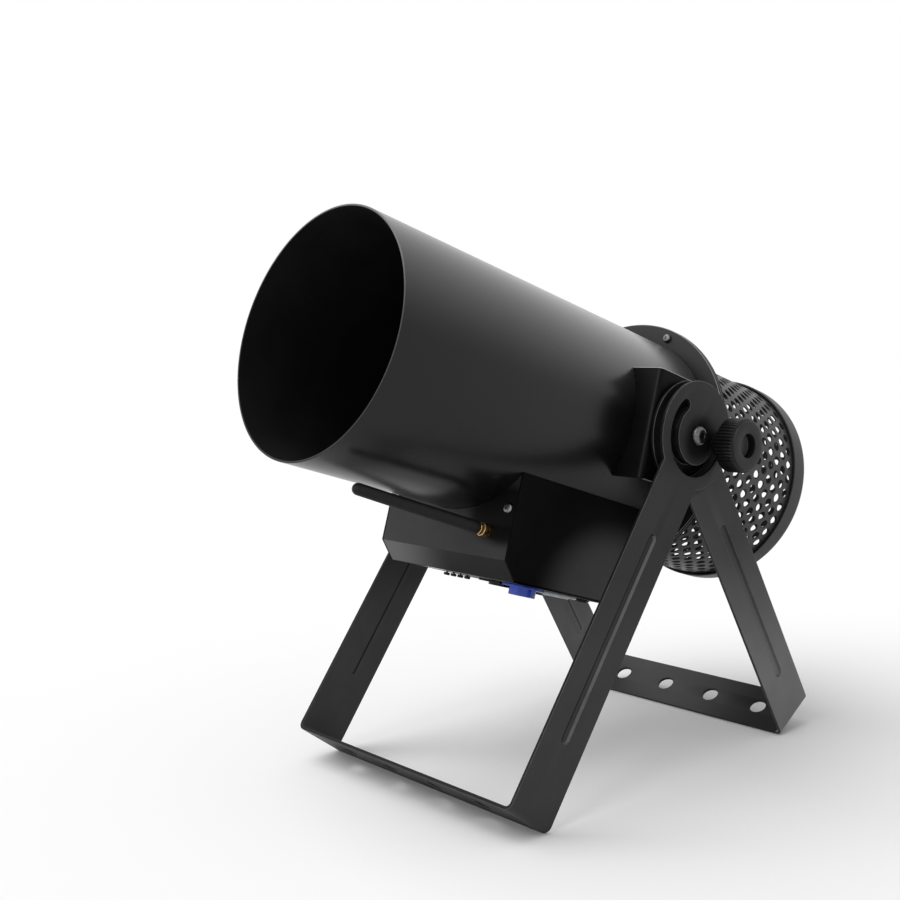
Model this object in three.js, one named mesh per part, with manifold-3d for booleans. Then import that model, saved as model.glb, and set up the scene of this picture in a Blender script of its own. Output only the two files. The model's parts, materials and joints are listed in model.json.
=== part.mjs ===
// Confetti blower: a slanted barrel with a fan in a perforated cage behind it, a control box
// under it, and two folding yokes that stand it on the floor or hang it from a bar.
// Millimetres, +Z up. The mouth points to -Y. The origin is on the floor under the middle.

import * as THREE from 'three';
import { mergeVertices } from 'three/addons/utils/BufferGeometryUtils.js';
import Module from 'manifold-3d';

const wasm = await Module();
wasm.setup();

// Fits
const seatGap = 0.3;
const runGap = 0.5;
const cutOverrun = 5;
const weldReach = 0.001;

// Barrel, its axis tilted up towards the mouth
const barrelTiltDeg = 16.9;
const barrelRadius = 108;
const barrelWall = 2;
const mouthReach = 324;

// Flange and fan plate behind the barrel
const flangeWidth = 18;
const flangeThickness = 3;
const flangeLip = 6;
const fanPlateThickness = 3;
const fanPlateInset = 18;
const flangeScrewCount = 6;
const flangeScrewFirstDeg = 19.3;
const flangeScrewEdge = 9;

// Rear cage
const cageWall = 1.5;
const cageFlangeEdge = 2;
const cageLength = 165;
const cageHoleRadius = 12;
const capHoleRadius = 9;
const cageHolesAround = 16;
const cageHoleRows = 4;
const cageRowPitch = 32;
const cageFirstRow = 26;
const capOverlap = 15;
const capCrown = 9;
const capCrownRadius = 8;
const capLip = 12;
const capHoleRings = 3;
const capRingPitch = 27;

// Screws: the shank radius is the thread's, the head is a pan head
const screwRadius = 2.5;
const screwHeadRadius = 4.4;
const screwHeadHeight = 3;
const screwHeadBevel = 1.2;
const screwDriveRadius = 1.6;
const screwDriveDepth = 1.4;
const screwEnd = 3;

// Guard in front of the fan
const guardThickness = 2.5;
const guardRingWidth = 3;
const guardRings = 2;
const guardHubRadius = 20;
const guardSpokes = 6;
const guardSpokeWidth = 4;

// Fan
const bladeCount = 7;
const bladeTipGap = 3;
const bladeThickness = 2.4;
const bladeChord = 34;
const bladePitchDeg = 35;
const hubRadius = 24;
const hubLength = 24;
const shaftRadius = 5;
const shaftTip = 2;
const shaftInMotor = 22;
const fanNutFlats = 17;
const fanNutThickness = 6;
const guardToNut = 5;

// Motor and its bracket
const motorRadius = 42;
const motorLength = 74;
const motorCapRadius = 20;
const motorCapLength = 8;
const motorBossRadius = 14;
const motorBossLength = 4;
const bracketPlate = 3;
const bracketRingWidth = 8;
const bracketArms = 3;
const bracketArmWidth = 18;
const bracketLegInset = 6;
const hubToBracket = 6;

// Side brackets, pivots and clamps
const sheet = 3;
const sideClearance = 2;
const bracketHalfHeight = 50;
const bracketMargin = 2.7;
const bracketBend = 5;
const bracketToFlange = 15;
const boltRadius = 5;
const boltHeadRadius = 8.75;
const boltHeadHeight = 5.5;
const boltHeadBevel = 2.7;
const boltSocketRadius = 3.4;
const boltSocketDepth = 3;
const boltProtrusion = 2;
const nutFlats = 17;
const nutThickness = 8;
const frictionThickness = 1.9;
const spacerThickness = 6.9;
const clampRadius = 32;
const slotClearance = 0.5;
const slotHalfDeg = 115;
const hubMargin = 0.5;
const headMargin = 11.5;

// Yokes
const armWidth = 54;
const frontLeanDeg = 36.1;
const swingClearance = 3.5;
const nestGap = 15;
const yokeBend = 7;
const stripHoleRadius = 8.5;
const stripHolePitch = 60;
const stripHoleCount = 4;
const grooveStart = 102;
const frontGrooveFootGap = 68;
const rearGrooveFootGap = 57;
const grooveWidth = 9;
const grooveDepth = 0.8;

// Clamp knobs
const knobWasherRadius = 11;
const knobWasherThickness = 1.5;
const knobHubRadius = 12.5;
const knobHubLength = 10.4;
const knobGripRadius = 24.5;
const knobGripLength = 18.3;
const knobRibs = 24;
const knobRibDepth = 1.2;
const knobFaceRadius = 22;
const knobFaceHeight = 1.7;
const knobRecessRadius = 11;
const knobRecessDepth = 8;
const studInKnob = 10;

// Control box
const boxSheet = 1.5;
const boxHalfWidth = 83;
const boxFront = 143.5;
const boxRear = 22;
const boxDrop = 54;
const boxChamfer = 16.5;
const boxTabWidth = 16;
const boxTabHeight = 18;
const boxScrewEdge = 8.7;
const boxScrewDrop = 32;

// Control panel: places are measured from the box's sides and from its front plate
const displayWidth = 32;
const displayHeight = 13;
const displayLip = 3;
const displayThickness = 1.2;
const displayInset = 49;
const displaySetback = 34;
const buttonCount = 4;
const buttonPitch = 9.5;
const buttonSetback = 58;
const buttonCapRadius = 3.2;
const buttonCapHeight = 2.6;
const buttonStemRadius = 1.7;
const buttonTravel = 0.8;
const buttonCollar = 1.2;
const connectorWidth = 26;
const connectorHeight = 31;
const connectorFlange = 2;
const connectorColumnInset = 30;
const connectorColumnGap = 28;
const connectorSetback = 58;
const connectorPitch = 44;
const powerBodyRadius = 12;
const powerInletProud = 7;
const powerOutletProud = 1;
const powerDepth = 20;
const powerSocketRadius = 8.6;
const powerSocketDepth = 12;
const signalBodyRadius = 11;
const signalProud = 2;
const signalDepth = 18;
const signalSocketRadius = 8.2;
const signalSocketDepth = 10;
const signalPinRing = 4;
const signalPinHoleRadius = 1.3;
const signalPinHoleDepth = 9;
const signalPinStepDeg = 90;
const fuseSetback = 137;
const fuseRimRadius = 8;
const fuseRimHeight = 1;
const fuseCapRadius = 6.2;
const fuseCapHeight = 1.6;
const fuseBodyRadius = 6;
const fuseDepth = 24;
const fuseSlotWidth = 1.6;
const fuseSlotDepth = 1.2;

// Boards inside the box
const boardThickness = 1.6;
const postRadius = 2.6;
const postInset = 4;
const panelPostHeight = 9;
const panelBoardToWall = 11.2;
const panelBoardToConnector = 12;
const panelBoardLength = 56;
const wallPostHeight = 5;
const driverBoardLength = 96;
const driverBoardHeight = 54;
const driverPartsHeight = 8;
const receiverBoardWidth = 46;
const receiverBoardHeight = 26;
const receiverPartsHeight = 3;
const receiverToAntenna = 46;
const receiverLift = 6;
const boardPartsMargin = 6;

// Antenna on the front plate
const antennaInset = 29;
const antennaDrop = 15;
const antennaTiltDeg = 2.3;
const jackNutRadius = 5.4;
const jackNutThickness = 3;
const jackThreadRadius = 3.1;
const sleeveRadius = 6;
const sleeveLength = 9;
const rodBaseRadius = 6;
const rodTipRadius = 5;
const rodLength = 137.5;

// Facets
const barrelFacets = 48;
const discFacets = 24;
const smallFacets = 16;
const screwFacets = 8;
const hexSides = 6;
const slotSteps = 20;
const headSteps = 22;
const arcSteps = 4;

// Sizes that follow
const rad = Math.PI / 180;
const tilt = barrelTiltDeg * rad;
const quarterTurn = Math.PI / 2;
const flangeRadius = barrelRadius + flangeWidth;
const barrelBore = barrelRadius - barrelWall;
const nutCorner = nutFlats / 2 / Math.cos(Math.PI / hexSides);
const bracketHalfLength = clampRadius + nutCorner + bracketMargin + sheet;
const flangeFront = bracketHalfLength + bracketToFlange;
const flangeRear = flangeFront + flangeThickness;
const fanPlateFront = flangeRear + seatGap;
const fanPlateRear = fanPlateFront + fanPlateThickness;
const cageFront = fanPlateRear + seatGap;
const cageRear = cageFront + cageLength;
const cageRadius = barrelRadius - seatGap;
const cageFlangeRadius = flangeRadius - cageFlangeEdge;
const screwCircle = flangeRadius - flangeScrewEdge;
const screwHole = screwRadius + seatGap;
const fanOpening = barrelBore - fanPlateInset;

const slotWidth = 2 * (boltRadius + slotClearance);
const headRadius = clampRadius + slotWidth / 2 + headMargin;
const washerRadius = clampRadius - slotWidth / 2 - hubMargin;
const bracketFaceX = flangeRadius + sideClearance;
const bracketBackX = bracketFaceX - sheet;
const nutInnerX = bracketBackX - seatGap - nutThickness;
const boltTipX = nutInnerX - boltProtrusion;
const frictionX = bracketFaceX + seatGap;
const rearYokeX = frictionX + frictionThickness + seatGap + sheet;
const spacerX = rearYokeX + seatGap;
const frontYokeX = spacerX + spacerThickness + seatGap + sheet;

const rearReach = Math.hypot(mouthReach, barrelRadius) + swingClearance + sheet;
const frontReach = rearReach + nestGap + sheet;
const frontLean = frontLeanDeg * rad;
const pivotHeight = frontReach * Math.cos(frontLean) + (armWidth / 2) * Math.sin(frontLean);
const rearLean = Math.acos(pivotHeight / Math.hypot(rearReach, armWidth / 2))
  + Math.atan(armWidth / 2 / rearReach);

const boxBottom = barrelRadius + boxDrop;
const boxTop = Math.sqrt((barrelRadius + seatGap) ** 2 - boxHalfWidth ** 2);
const panelTop = -boxBottom + boxSheet;
const panelHalfWidth = boxHalfWidth - boxSheet - seatGap;
const boxScrewX = boxHalfWidth - boxScrewEdge;
const displayX = displayInset - boxHalfWidth;
const connectorColumnX = boxHalfWidth - connectorColumnInset;
const signalColumnX = connectorColumnX - connectorColumnGap;
const antennaX = boxHalfWidth - antennaInset;
const boxScrewZ = -boxTop - boxScrewDrop;

// A welded, closed copy of a geometry, its faces turned outwards.
function welded(geometry) {
  const bare = new THREE.BufferGeometry();
  bare.setAttribute('position', geometry.getAttribute('position').clone());
  if (geometry.index) {
    bare.setIndex([...geometry.index.array]);
  }
  const merged = mergeVertices(bare, weldReach);
  const corners = merged.index.array;
  const faces = [];
  for (let i = 0; i < corners.length; i += 3) {
    const [a, b, c] = [corners[i], corners[i + 1], corners[i + 2]];
    if (a !== b && b !== c && c !== a) {
      faces.push(a, b, c);
    }
  }
  if (signedVolume(merged.getAttribute('position'), faces) < 0) {
    faces.reverse();
  }
  merged.setIndex(faces);
  return merged;
}

function signedVolume(position, faces) {
  const [a, b, c] = [new THREE.Vector3(), new THREE.Vector3(), new THREE.Vector3()];
  let volume = 0;
  for (let i = 0; i < faces.length; i += 3) {
    a.fromBufferAttribute(position, faces[i]);
    b.fromBufferAttribute(position, faces[i + 1]);
    c.fromBufferAttribute(position, faces[i + 2]);
    volume += a.dot(b.cross(c));
  }
  return volume;
}

function toSolid(geometry) {
  const closed = welded(geometry);
  const mesh = new wasm.Mesh({
    numProp: 3,
    vertProperties: Float32Array.from(closed.getAttribute('position').array),
    triVerts: Uint32Array.from(closed.index.array),
  });
  return new wasm.Manifold(mesh);
}

function toGeometry(solid) {
  const mesh = solid.getMesh();
  const geometry = new THREE.BufferGeometry();
  geometry.setAttribute('position', new THREE.BufferAttribute(Float32Array.from(mesh.vertProperties), 3));
  geometry.setIndex([...mesh.triVerts]);
  return geometry;
}

// The pieces in the first list joined, and those in the second cut away.
function joined(adds, cuts = []) {
  let solid = toSolid(adds[0]);
  for (const add of adds.slice(1)) {
    solid = solid.add(toSolid(add));
  }
  for (const cut of cuts) {
    solid = solid.subtract(toSolid(cut));
  }
  return toGeometry(solid);
}

// A round body about Y: the profile is a list of [radius, y], on the axis at both ends.
function turned(profile, facets) {
  return new THREE.LatheGeometry(profile.map(([r, y]) => new THREE.Vector2(r, y)), facets);
}

function disc(radius, y0, y1, facets) {
  return turned([[0, y0], [radius, y0], [radius, y1], [0, y1]], facets);
}

function ring(inner, outer, y0, y1, facets) {
  return turned([[inner, y0], [outer, y0], [outer, y1], [inner, y1], [inner, y0]], facets);
}

// A box between two opposite corners.
function block([x0, y0, z0], [x1, y1, z1]) {
  const box = new THREE.BoxGeometry(Math.abs(x1 - x0), Math.abs(y1 - y0), Math.abs(z1 - z0));
  return box.translate((x0 + x1) / 2, (y0 + y1) / 2, (z0 + z1) / 2);
}

function polygon(points) {
  return new THREE.Shape(points.map(([a, b]) => new THREE.Vector2(a, b)));
}

// The corners of an arc about a centre, both its ends included.
function arc(radius, from, to, steps, [cx, cy] = [0, 0]) {
  const points = [];
  for (let step = 0; step <= steps; step += 1) {
    const angle = from + ((to - from) * step) / steps;
    points.push([cx + radius * Math.cos(angle), cy + radius * Math.sin(angle)]);
  }
  return points;
}

function extruded(shape, depth) {
  return new THREE.ExtrudeGeometry(shape, { depth, bevelEnabled: false });
}

// Extrusions whose outline lies in the YZ plane, from x0 towards +X.
function plateAcrossX(shape, x0, depth) {
  const basis = new THREE.Matrix4().makeBasis(
    new THREE.Vector3(0, 1, 0), new THREE.Vector3(0, 0, 1), new THREE.Vector3(1, 0, 0));
  return extruded(shape, depth).applyMatrix4(basis).translate(x0, 0, 0);
}

// Extrusions whose outline lies in the XZ plane, from y0 towards +Y.
function plateAcrossY(shape, y0, depth) {
  const basis = new THREE.Matrix4().makeBasis(
    new THREE.Vector3(1, 0, 0), new THREE.Vector3(0, 0, 1), new THREE.Vector3(0, -1, 0));
  return extruded(shape, depth).applyMatrix4(basis).translate(0, y0 + depth, 0);
}

// A round body about Y laid along X: side 1 points its +Y end to +X, side -1 to -X.
function alongX(geometry, side) {
  return geometry.rotateZ(-side * quarterTurn);
}

// A round body about Y stood along Z, its +Y end down.
function alongDown(geometry) {
  return geometry.rotateX(-quarterTurn);
}

function hexagon(flats) {
  const corner = flats / 2 / Math.cos(Math.PI / hexSides);
  const points = [];
  for (let i = 0; i < hexSides; i += 1) {
    const angle = (i / hexSides) * 2 * Math.PI;
    points.push([corner * Math.cos(angle), corner * Math.sin(angle)]);
  }
  return polygon(points);
}

// A hexagon nut about Y, from y0, with a bore.
function hexNut(flats, thickness, bore, y0) {
  return joined([plateAcrossY(hexagon(flats), y0, thickness)],
    [disc(bore, y0 - cutOverrun, y0 + thickness + cutOverrun, smallFacets)]);
}

// The corners of a path replaced by arcs of the given radius.
function rounded(points, radius) {
  const path = [points[0]];
  for (let i = 1; i < points.length - 1; i += 1) {
    const corner = new THREE.Vector2(...points[i]);
    const before = new THREE.Vector2(...points[i - 1]).sub(corner).normalize();
    const after = new THREE.Vector2(...points[i + 1]).sub(corner).normalize();
    const half = Math.acos(before.dot(after)) / 2;
    const middle = before.clone().add(after).normalize().multiplyScalar(radius / Math.sin(half)).add(corner);
    const start = before.clone().multiplyScalar(radius / Math.tan(half)).add(corner).sub(middle);
    const end = after.clone().multiplyScalar(radius / Math.tan(half)).add(corner).sub(middle);
    const sweep = Math.atan2(start.cross(end), start.dot(end));
    for (let step = 0; step <= arcSteps; step += 1) {
      const spoke = start.clone().rotateAround(new THREE.Vector2(), (sweep * step) / arcSteps).add(middle);
      path.push([spoke.x, spoke.y]);
    }
  }
  path.push(points.at(-1));
  return path;
}

// The same path moved to its left by an offset, with mitred corners.
function offsetPath(points, offset) {
  const normals = points.slice(1).map(([x, y], i) => {
    const length = Math.hypot(x - points[i][0], y - points[i][1]);
    return [-(y - points[i][1]) / length, (x - points[i][0]) / length];
  });
  return points.map(([x, y], i) => {
    const [ax, ay] = normals[Math.max(i - 1, 0)];
    const [bx, by] = normals[Math.min(i, normals.length - 1)];
    const mitre = offset / (1 + ax * bx + ay * by);
    return [x + (ax + bx) * mitre, y + (ay + by) * mitre];
  });
}

// The section of a sheet bent along a path, its thickness to the path's left.
function bentSheet(points, thickness) {
  return [...points, ...offsetPath(points, thickness).reverse()];
}

const blowerGroup = new THREE.Group();
const machine = new THREE.Group();
machine.rotation.x = -tilt;
blowerGroup.add(machine);

function addMesh(parent, name, geometry, [color, roughness, metalness]) {
  const material = new THREE.MeshStandardMaterial({ color, roughness, metalness, flatShading: true });
  const mesh = new THREE.Mesh(welded(geometry), material);
  mesh.name = name;
  parent.add(mesh);
  return mesh;
}

const satinBlack = [0x1d1d20, 0.38, 0.2];
const powderBlack = [0x2b2b2d, 0.62, 0.15];
const cageBlack = [0x202023, 0.45, 0.3];
const brightSteel = [0xc9c9c6, 0.3, 0.9];
const darkSteel = [0x56575a, 0.45, 0.8];
const blackPlastic = [0x18181a, 0.5, 0];
const greyPlastic = [0x77777a, 0.55, 0];
const bluePlastic = [0x2a45b8, 0.42, 0];
const palePlastic = [0xc8cacc, 0.5, 0];
const brass = [0xc79a4b, 0.3, 0.9];
const rubberBlack = [0x151516, 0.7, 0];
const boardGreen = [0x1f5a35, 0.6, 0];
const smokedWindow = [0x2a0c0e, 0.15, 0];
const fibre = [0x6b4a35, 0.8, 0];

// Barrel and the plates behind it
function screwCircleHoles(y0, y1) {
  const holes = [];
  for (let i = 0; i < flangeScrewCount; i += 1) {
    const angle = flangeScrewFirstDeg * rad + (i / flangeScrewCount) * 2 * Math.PI;
    const hole = disc(screwHole, y0 - cutOverrun, y1 + cutOverrun, screwFacets);
    holes.push(hole.translate(screwCircle * Math.sin(angle), 0, screwCircle * Math.cos(angle)));
  }
  return holes;
}

function addBarrel() {
  addMesh(machine, 'barrel_tube',
    ring(barrelBore, barrelRadius, -mouthReach, flangeFront - seatGap, barrelFacets), satinBlack);
  const flange = ring(barrelBore - flangeLip, flangeRadius, flangeFront, flangeRear, barrelFacets);
  addMesh(machine, 'barrel_flange', joined([flange], screwCircleHoles(flangeFront, flangeRear)), satinBlack);
  const plate = ring(fanOpening, flangeRadius, fanPlateFront, fanPlateRear, barrelFacets);
  addMesh(machine, 'fan_plate', joined([plate], screwCircleHoles(fanPlateFront, fanPlateRear)), satinBlack);
}

function addFlangeScrews() {
  const under = flangeFront - seatGap;
  const end = cageFront + cageWall + screwEnd;
  for (let i = 0; i < flangeScrewCount; i += 1) {
    const angle = flangeScrewFirstDeg * rad + (i / flangeScrewCount) * 2 * Math.PI;
    const screw = panScrew(end - under).translate(0, under, 0);
    screw.translate(screwCircle * Math.sin(angle), 0, screwCircle * Math.cos(angle));
    addMesh(machine, `flange_screw_${i + 1}`, screw, i === 0 ? brightSteel : darkSteel);
  }
}

// A pan head screw about Y, its head on the -Y side of y = 0.
function panScrew(shank) {
  const crown = -screwHeadHeight;
  return turned([
    [0, crown + screwDriveDepth],
    [screwDriveRadius, crown + screwDriveDepth],
    [screwDriveRadius, crown],
    [screwHeadRadius - screwHeadBevel, crown],
    [screwHeadRadius, crown + screwHeadBevel],
    [screwHeadRadius, 0],
    [screwRadius, 0],
    [screwRadius, shank],
    [0, shank],
  ], screwFacets);
}

// The guard rests on the flange's lip, inside the barrel.
function addGuard() {
  const y1 = flangeFront - seatGap;
  const y0 = y1 - guardThickness;
  const rim = barrelBore - seatGap;
  const parts = [
    ring(rim - guardRingWidth, rim, y0, y1, discFacets),
    disc(guardHubRadius, y0, y1, smallFacets),
  ];
  const pitch = (rim - guardHubRadius) / guardRings;
  for (let i = 1; i < guardRings; i += 1) {
    const middle = guardHubRadius + i * pitch;
    parts.push(ring(middle - guardRingWidth / 2, middle + guardRingWidth / 2, y0, y1, discFacets));
  }
  for (let i = 0; i < guardSpokes; i += 1) {
    const spoke = block([guardHubRadius / 2, y0, -guardSpokeWidth / 2],
      [rim - guardRingWidth / 2, y1, guardSpokeWidth / 2]);
    parts.push(spoke.rotateY((i / guardSpokes) * 2 * Math.PI));
  }
  addMesh(machine, 'outlet_guard', joined(parts), darkSteel);
}

// Rear cage: a perforated tube welded into a flange, closed by a ring that holds a perforated disc
function addCage() {
  const tube = ring(cageRadius - cageWall, cageRadius, cageFront, cageRear, 2 * cageHolesAround);
  const cuts = [];
  for (let row = 0; row < cageHoleRows; row += 1) {
    for (let i = 0; i < cageHolesAround; i += 1) {
      const hole = new THREE.CylinderGeometry(cageHoleRadius, cageHoleRadius, 2 * cutOverrun, hexSides);
      hole.rotateX(quarterTurn).translate(0, cageFront + cageFirstRow + row * cageRowPitch, cageRadius);
      cuts.push(hole.rotateY(((i + (row % 2) / 2) / cageHolesAround) * 2 * Math.PI));
    }
  }
  addMesh(machine, 'cage_shell', joined([tube], cuts), cageBlack);
  const end = cageFront + cageWall;
  const flange = ring(cageRadius + seatGap, cageFlangeRadius, cageFront, end, 2 * cageHolesAround);
  addMesh(machine, 'cage_flange', joined([flange], screwCircleHoles(cageFront, end)), cageBlack);
}

function capOuterPath() {
  const outer = cageRadius + seatGap + cageWall;
  const front = cageRear - capOverlap;
  const rear = cageRear + capCrown;
  return rounded([[outer, front], [outer, rear], [outer - capLip, rear]], capCrownRadius);
}

function addCageEnd() {
  const outer = capOuterPath();
  const inner = offsetPath(outer, cageWall);
  const section = [...outer, ...inner.reverse(), outer[0]];
  addMesh(machine, 'cage_end_ring', turned(section, 2 * cageHolesAround), cageBlack);

  // The grille lies against the inside of the ring's lip
  const rear = cageRear + capCrown - cageWall - seatGap;
  const radius = cageRadius + cageWall - capCrownRadius;
  const grille = disc(radius, rear - cageWall, rear, 2 * cageHolesAround);
  const holes = [];
  for (let circle = 0; circle <= capHoleRings; circle += 1) {
    const count = Math.max(1, circle * hexSides);
    for (let i = 0; i < count; i += 1) {
      const hole = new THREE.CylinderGeometry(capHoleRadius, capHoleRadius, 2 * cutOverrun, hexSides);
      hole.translate(circle * capRingPitch, rear, 0);
      holes.push(hole.rotateY((i / count) * 2 * Math.PI));
    }
  }
  addMesh(machine, 'cage_end_grille', joined([grille], holes), cageBlack);
}

// Fan: the nut faces the guard, the motor is behind the impeller
const fanNutFront = flangeFront + guardToNut;
const hubFront = fanNutFront + fanNutThickness + seatGap;
const hubRear = hubFront + hubLength;
const bracketFront = hubRear + hubToBracket;
const motorFront = bracketFront + bracketPlate + seatGap;

function addImpeller() {
  const middle = (hubFront + hubRear) / 2;
  const tip = fanOpening - bladeTipGap;
  const parts = [disc(hubRadius, hubFront, hubRear, smallFacets)];
  for (let i = 0; i < bladeCount; i += 1) {
    const blade = new THREE.BoxGeometry(bladeThickness, bladeChord, tip - hubRadius / 2);
    blade.rotateZ(bladePitchDeg * rad).translate(0, middle, (tip + hubRadius / 2) / 2);
    parts.push(blade.rotateY((i / bladeCount) * 2 * Math.PI));
  }
  const bore = disc(shaftRadius + seatGap, hubFront - cutOverrun, hubRear + cutOverrun, smallFacets);
  addMesh(machine, 'impeller', joined(parts, [bore]), darkSteel);
  addMesh(machine, 'impeller_nut',
    hexNut(fanNutFlats, fanNutThickness, shaftRadius + seatGap, fanNutFront), brightSteel);
  addMesh(machine, 'motor_shaft',
    disc(shaftRadius, fanNutFront - shaftTip, motorFront + shaftInMotor, smallFacets), brightSteel);
}

function addMotor() {
  const bore = shaftRadius + seatGap;
  const boss = motorFront - motorBossLength;
  const rear = motorFront + motorLength;
  addMesh(machine, 'fan_motor', turned([
    [0, motorFront + shaftInMotor + seatGap],
    [bore, motorFront + shaftInMotor + seatGap],
    [bore, boss],
    [motorBossRadius, boss],
    [motorBossRadius, motorFront],
    [motorRadius, motorFront],
    [motorRadius, rear],
    [motorCapRadius, rear],
    [motorCapRadius, rear + motorCapLength],
    [0, rear + motorCapLength],
  ], discFacets), greyPlastic);
}

function addMotorBracket() {
  const legOuter = cageRadius - cageWall - bracketLegInset;
  const rear = bracketFront + bracketPlate;
  const inner = motorBossRadius + runGap;
  const parts = [ring(inner, motorRadius + bracketRingWidth, bracketFront, rear, discFacets)];
  for (let i = 0; i < bracketArms; i += 1) {
    const angle = (i / bracketArms) * 2 * Math.PI;
    const arm = block([-bracketArmWidth / 2, bracketFront, motorRadius],
      [bracketArmWidth / 2, rear, legOuter]);
    const leg = block([-bracketArmWidth / 2, cageFront, legOuter - bracketPlate],
      [bracketArmWidth / 2, rear, legOuter]);
    parts.push(arm.rotateY(angle), leg.rotateY(angle));
  }
  addMesh(machine, 'motor_bracket', joined(parts), darkSteel);
}

// The room that whatever sits on the barrel leaves for it
function barrelCut() {
  return disc(barrelRadius + seatGap, -mouthReach, flangeFront, 2 * barrelFacets);
}

// Side bracket: a sheet bent round the pivot's nuts, its two walls on the barrel
function addSideBracket(side, label) {
  const inner = Math.sqrt(barrelRadius ** 2 - bracketHalfHeight ** 2) - cutOverrun;
  const path = rounded([
    [inner, -bracketHalfLength],
    [bracketFaceX, -bracketHalfLength],
    [bracketFaceX, bracketHalfLength],
    [inner, bracketHalfLength],
  ], bracketBend);
  const section = bentSheet(path, sheet).map(([x, y]) => [side * x, y]);
  const sheetBody = extruded(polygon(section), 2 * bracketHalfHeight).translate(0, 0, -bracketHalfHeight);
  const holes = [0, clampRadius].map((y) => {
    const hole = disc(boltRadius + seatGap, 0, bracketFaceX + cutOverrun, smallFacets);
    return alongX(hole, side).translate(0, y, 0);
  });
  addMesh(machine, `${label}_bracket`, joined([sheetBody], [...holes, barrelCut()]), satinBlack);
}

// Bolt, nuts, washers and knob of one side, all about X
function addPivot(side, label) {
  const headUnder = frontYokeX + seatGap;
  const headTop = headUnder + boltHeadHeight;
  const bolt = turned([
    [0, boltTipX],
    [boltRadius, boltTipX],
    [boltRadius, headUnder],
    [boltHeadRadius, headUnder],
    [boltHeadRadius, headTop - boltHeadBevel],
    [boltHeadRadius - boltHeadBevel, headTop],
    [boltSocketRadius, headTop],
    [boltSocketRadius, headTop - boltSocketDepth],
    [0, headTop - boltSocketDepth],
  ], smallFacets);
  const nut = () => alongX(hexNut(nutFlats, nutThickness, boltRadius + seatGap, nutInnerX), side);
  const bore = boltRadius + runGap;
  const friction = ring(bore, washerRadius, frictionX, frictionX + frictionThickness, discFacets);
  const spacer = ring(bore, washerRadius, spacerX, spacerX + spacerThickness, discFacets);
  addMesh(machine, `${label}_pivot_bolt`, alongX(bolt, side), brightSteel);
  addMesh(machine, `${label}_pivot_nut`, nut(), darkSteel);
  addMesh(machine, `${label}_clamp_nut`, nut().translate(0, clampRadius, 0), darkSteel);
  addMesh(machine, `${label}_friction_washer`, alongX(friction, side), fibre);
  addMesh(machine, `${label}_yoke_spacer`, alongX(spacer, side), blackPlastic);
}

const knobWasherX = frontYokeX + seatGap;
const knobX = knobWasherX + knobWasherThickness + seatGap;
const gripX = knobX + knobHubLength;
const gripEndX = gripX + knobGripLength;
const knobFaceX = gripEndX + knobFaceHeight;

function addKnob(side, label) {
  const place = (geometry) => alongX(geometry, side).translate(0, clampRadius, 0);
  const washer = ring(boltRadius + runGap, knobWasherRadius, knobWasherX,
    knobWasherX + knobWasherThickness, smallFacets);
  const stud = disc(boltRadius, boltTipX, gripX + studInKnob - seatGap, smallFacets);
  const ribPoints = [];
  for (let i = 0; i < 2 * knobRibs; i += 1) {
    const radius = knobGripRadius - (i % 2) * knobRibDepth;
    const angle = (i / knobRibs) * Math.PI;
    ribPoints.push([radius * Math.cos(angle), radius * Math.sin(angle)]);
  }
  const hub = disc(knobHubRadius, knobX, gripX + cutOverrun, smallFacets);
  const grip = plateAcrossY(polygon(ribPoints), gripX, knobGripLength);
  const face = disc(knobFaceRadius, gripX + cutOverrun, knobFaceX, discFacets);
  const recess = disc(knobRecessRadius, knobFaceX - knobRecessDepth, knobFaceX + cutOverrun, smallFacets);
  const bore = disc(boltRadius + seatGap, knobX - cutOverrun, gripX + studInKnob, smallFacets);
  addMesh(machine, `${label}_knob_washer`, place(washer), brightSteel);
  addMesh(machine, `${label}_knob_stud`, place(stud), brightSteel);
  addMesh(machine, `${label}_knob`, place(joined([hub, grip, face], [recess, bore])), blackPlastic);
}

// Yoke: a bar bent to a U, with a round slotted head on each arm, arms hanging to -Z
function headOutline() {
  const start = Math.asin(armWidth / 2 / headRadius);
  return polygon(arc(headRadius, start - quarterTurn, 3 * quarterTurn - start, headSteps));
}

function headSlot() {
  const [from, to] = [-quarterTurn - slotHalfDeg * rad, -quarterTurn + slotHalfDeg * rad];
  const cap = slotWidth / 2;
  const [start, end] = arc(clampRadius, from, to, 1);
  return polygon([
    ...arc(clampRadius + cap, from, to, slotSteps),
    ...arc(cap, to, to + Math.PI, arcSteps, end).slice(1, -1),
    ...arc(clampRadius - cap, to, from, slotSteps),
    ...arc(cap, from + Math.PI, from + 2 * Math.PI, arcSteps, start).slice(1, -1),
  ]);
}

function armGroove(reach, footGap) {
  const half = grooveWidth / 2;
  return polygon([
    ...arc(half, 0, Math.PI, arcSteps, [0, -grooveStart - half]),
    ...arc(half, Math.PI, 2 * Math.PI, arcSteps, [0, -reach + footGap + half]),
  ]);
}

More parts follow.
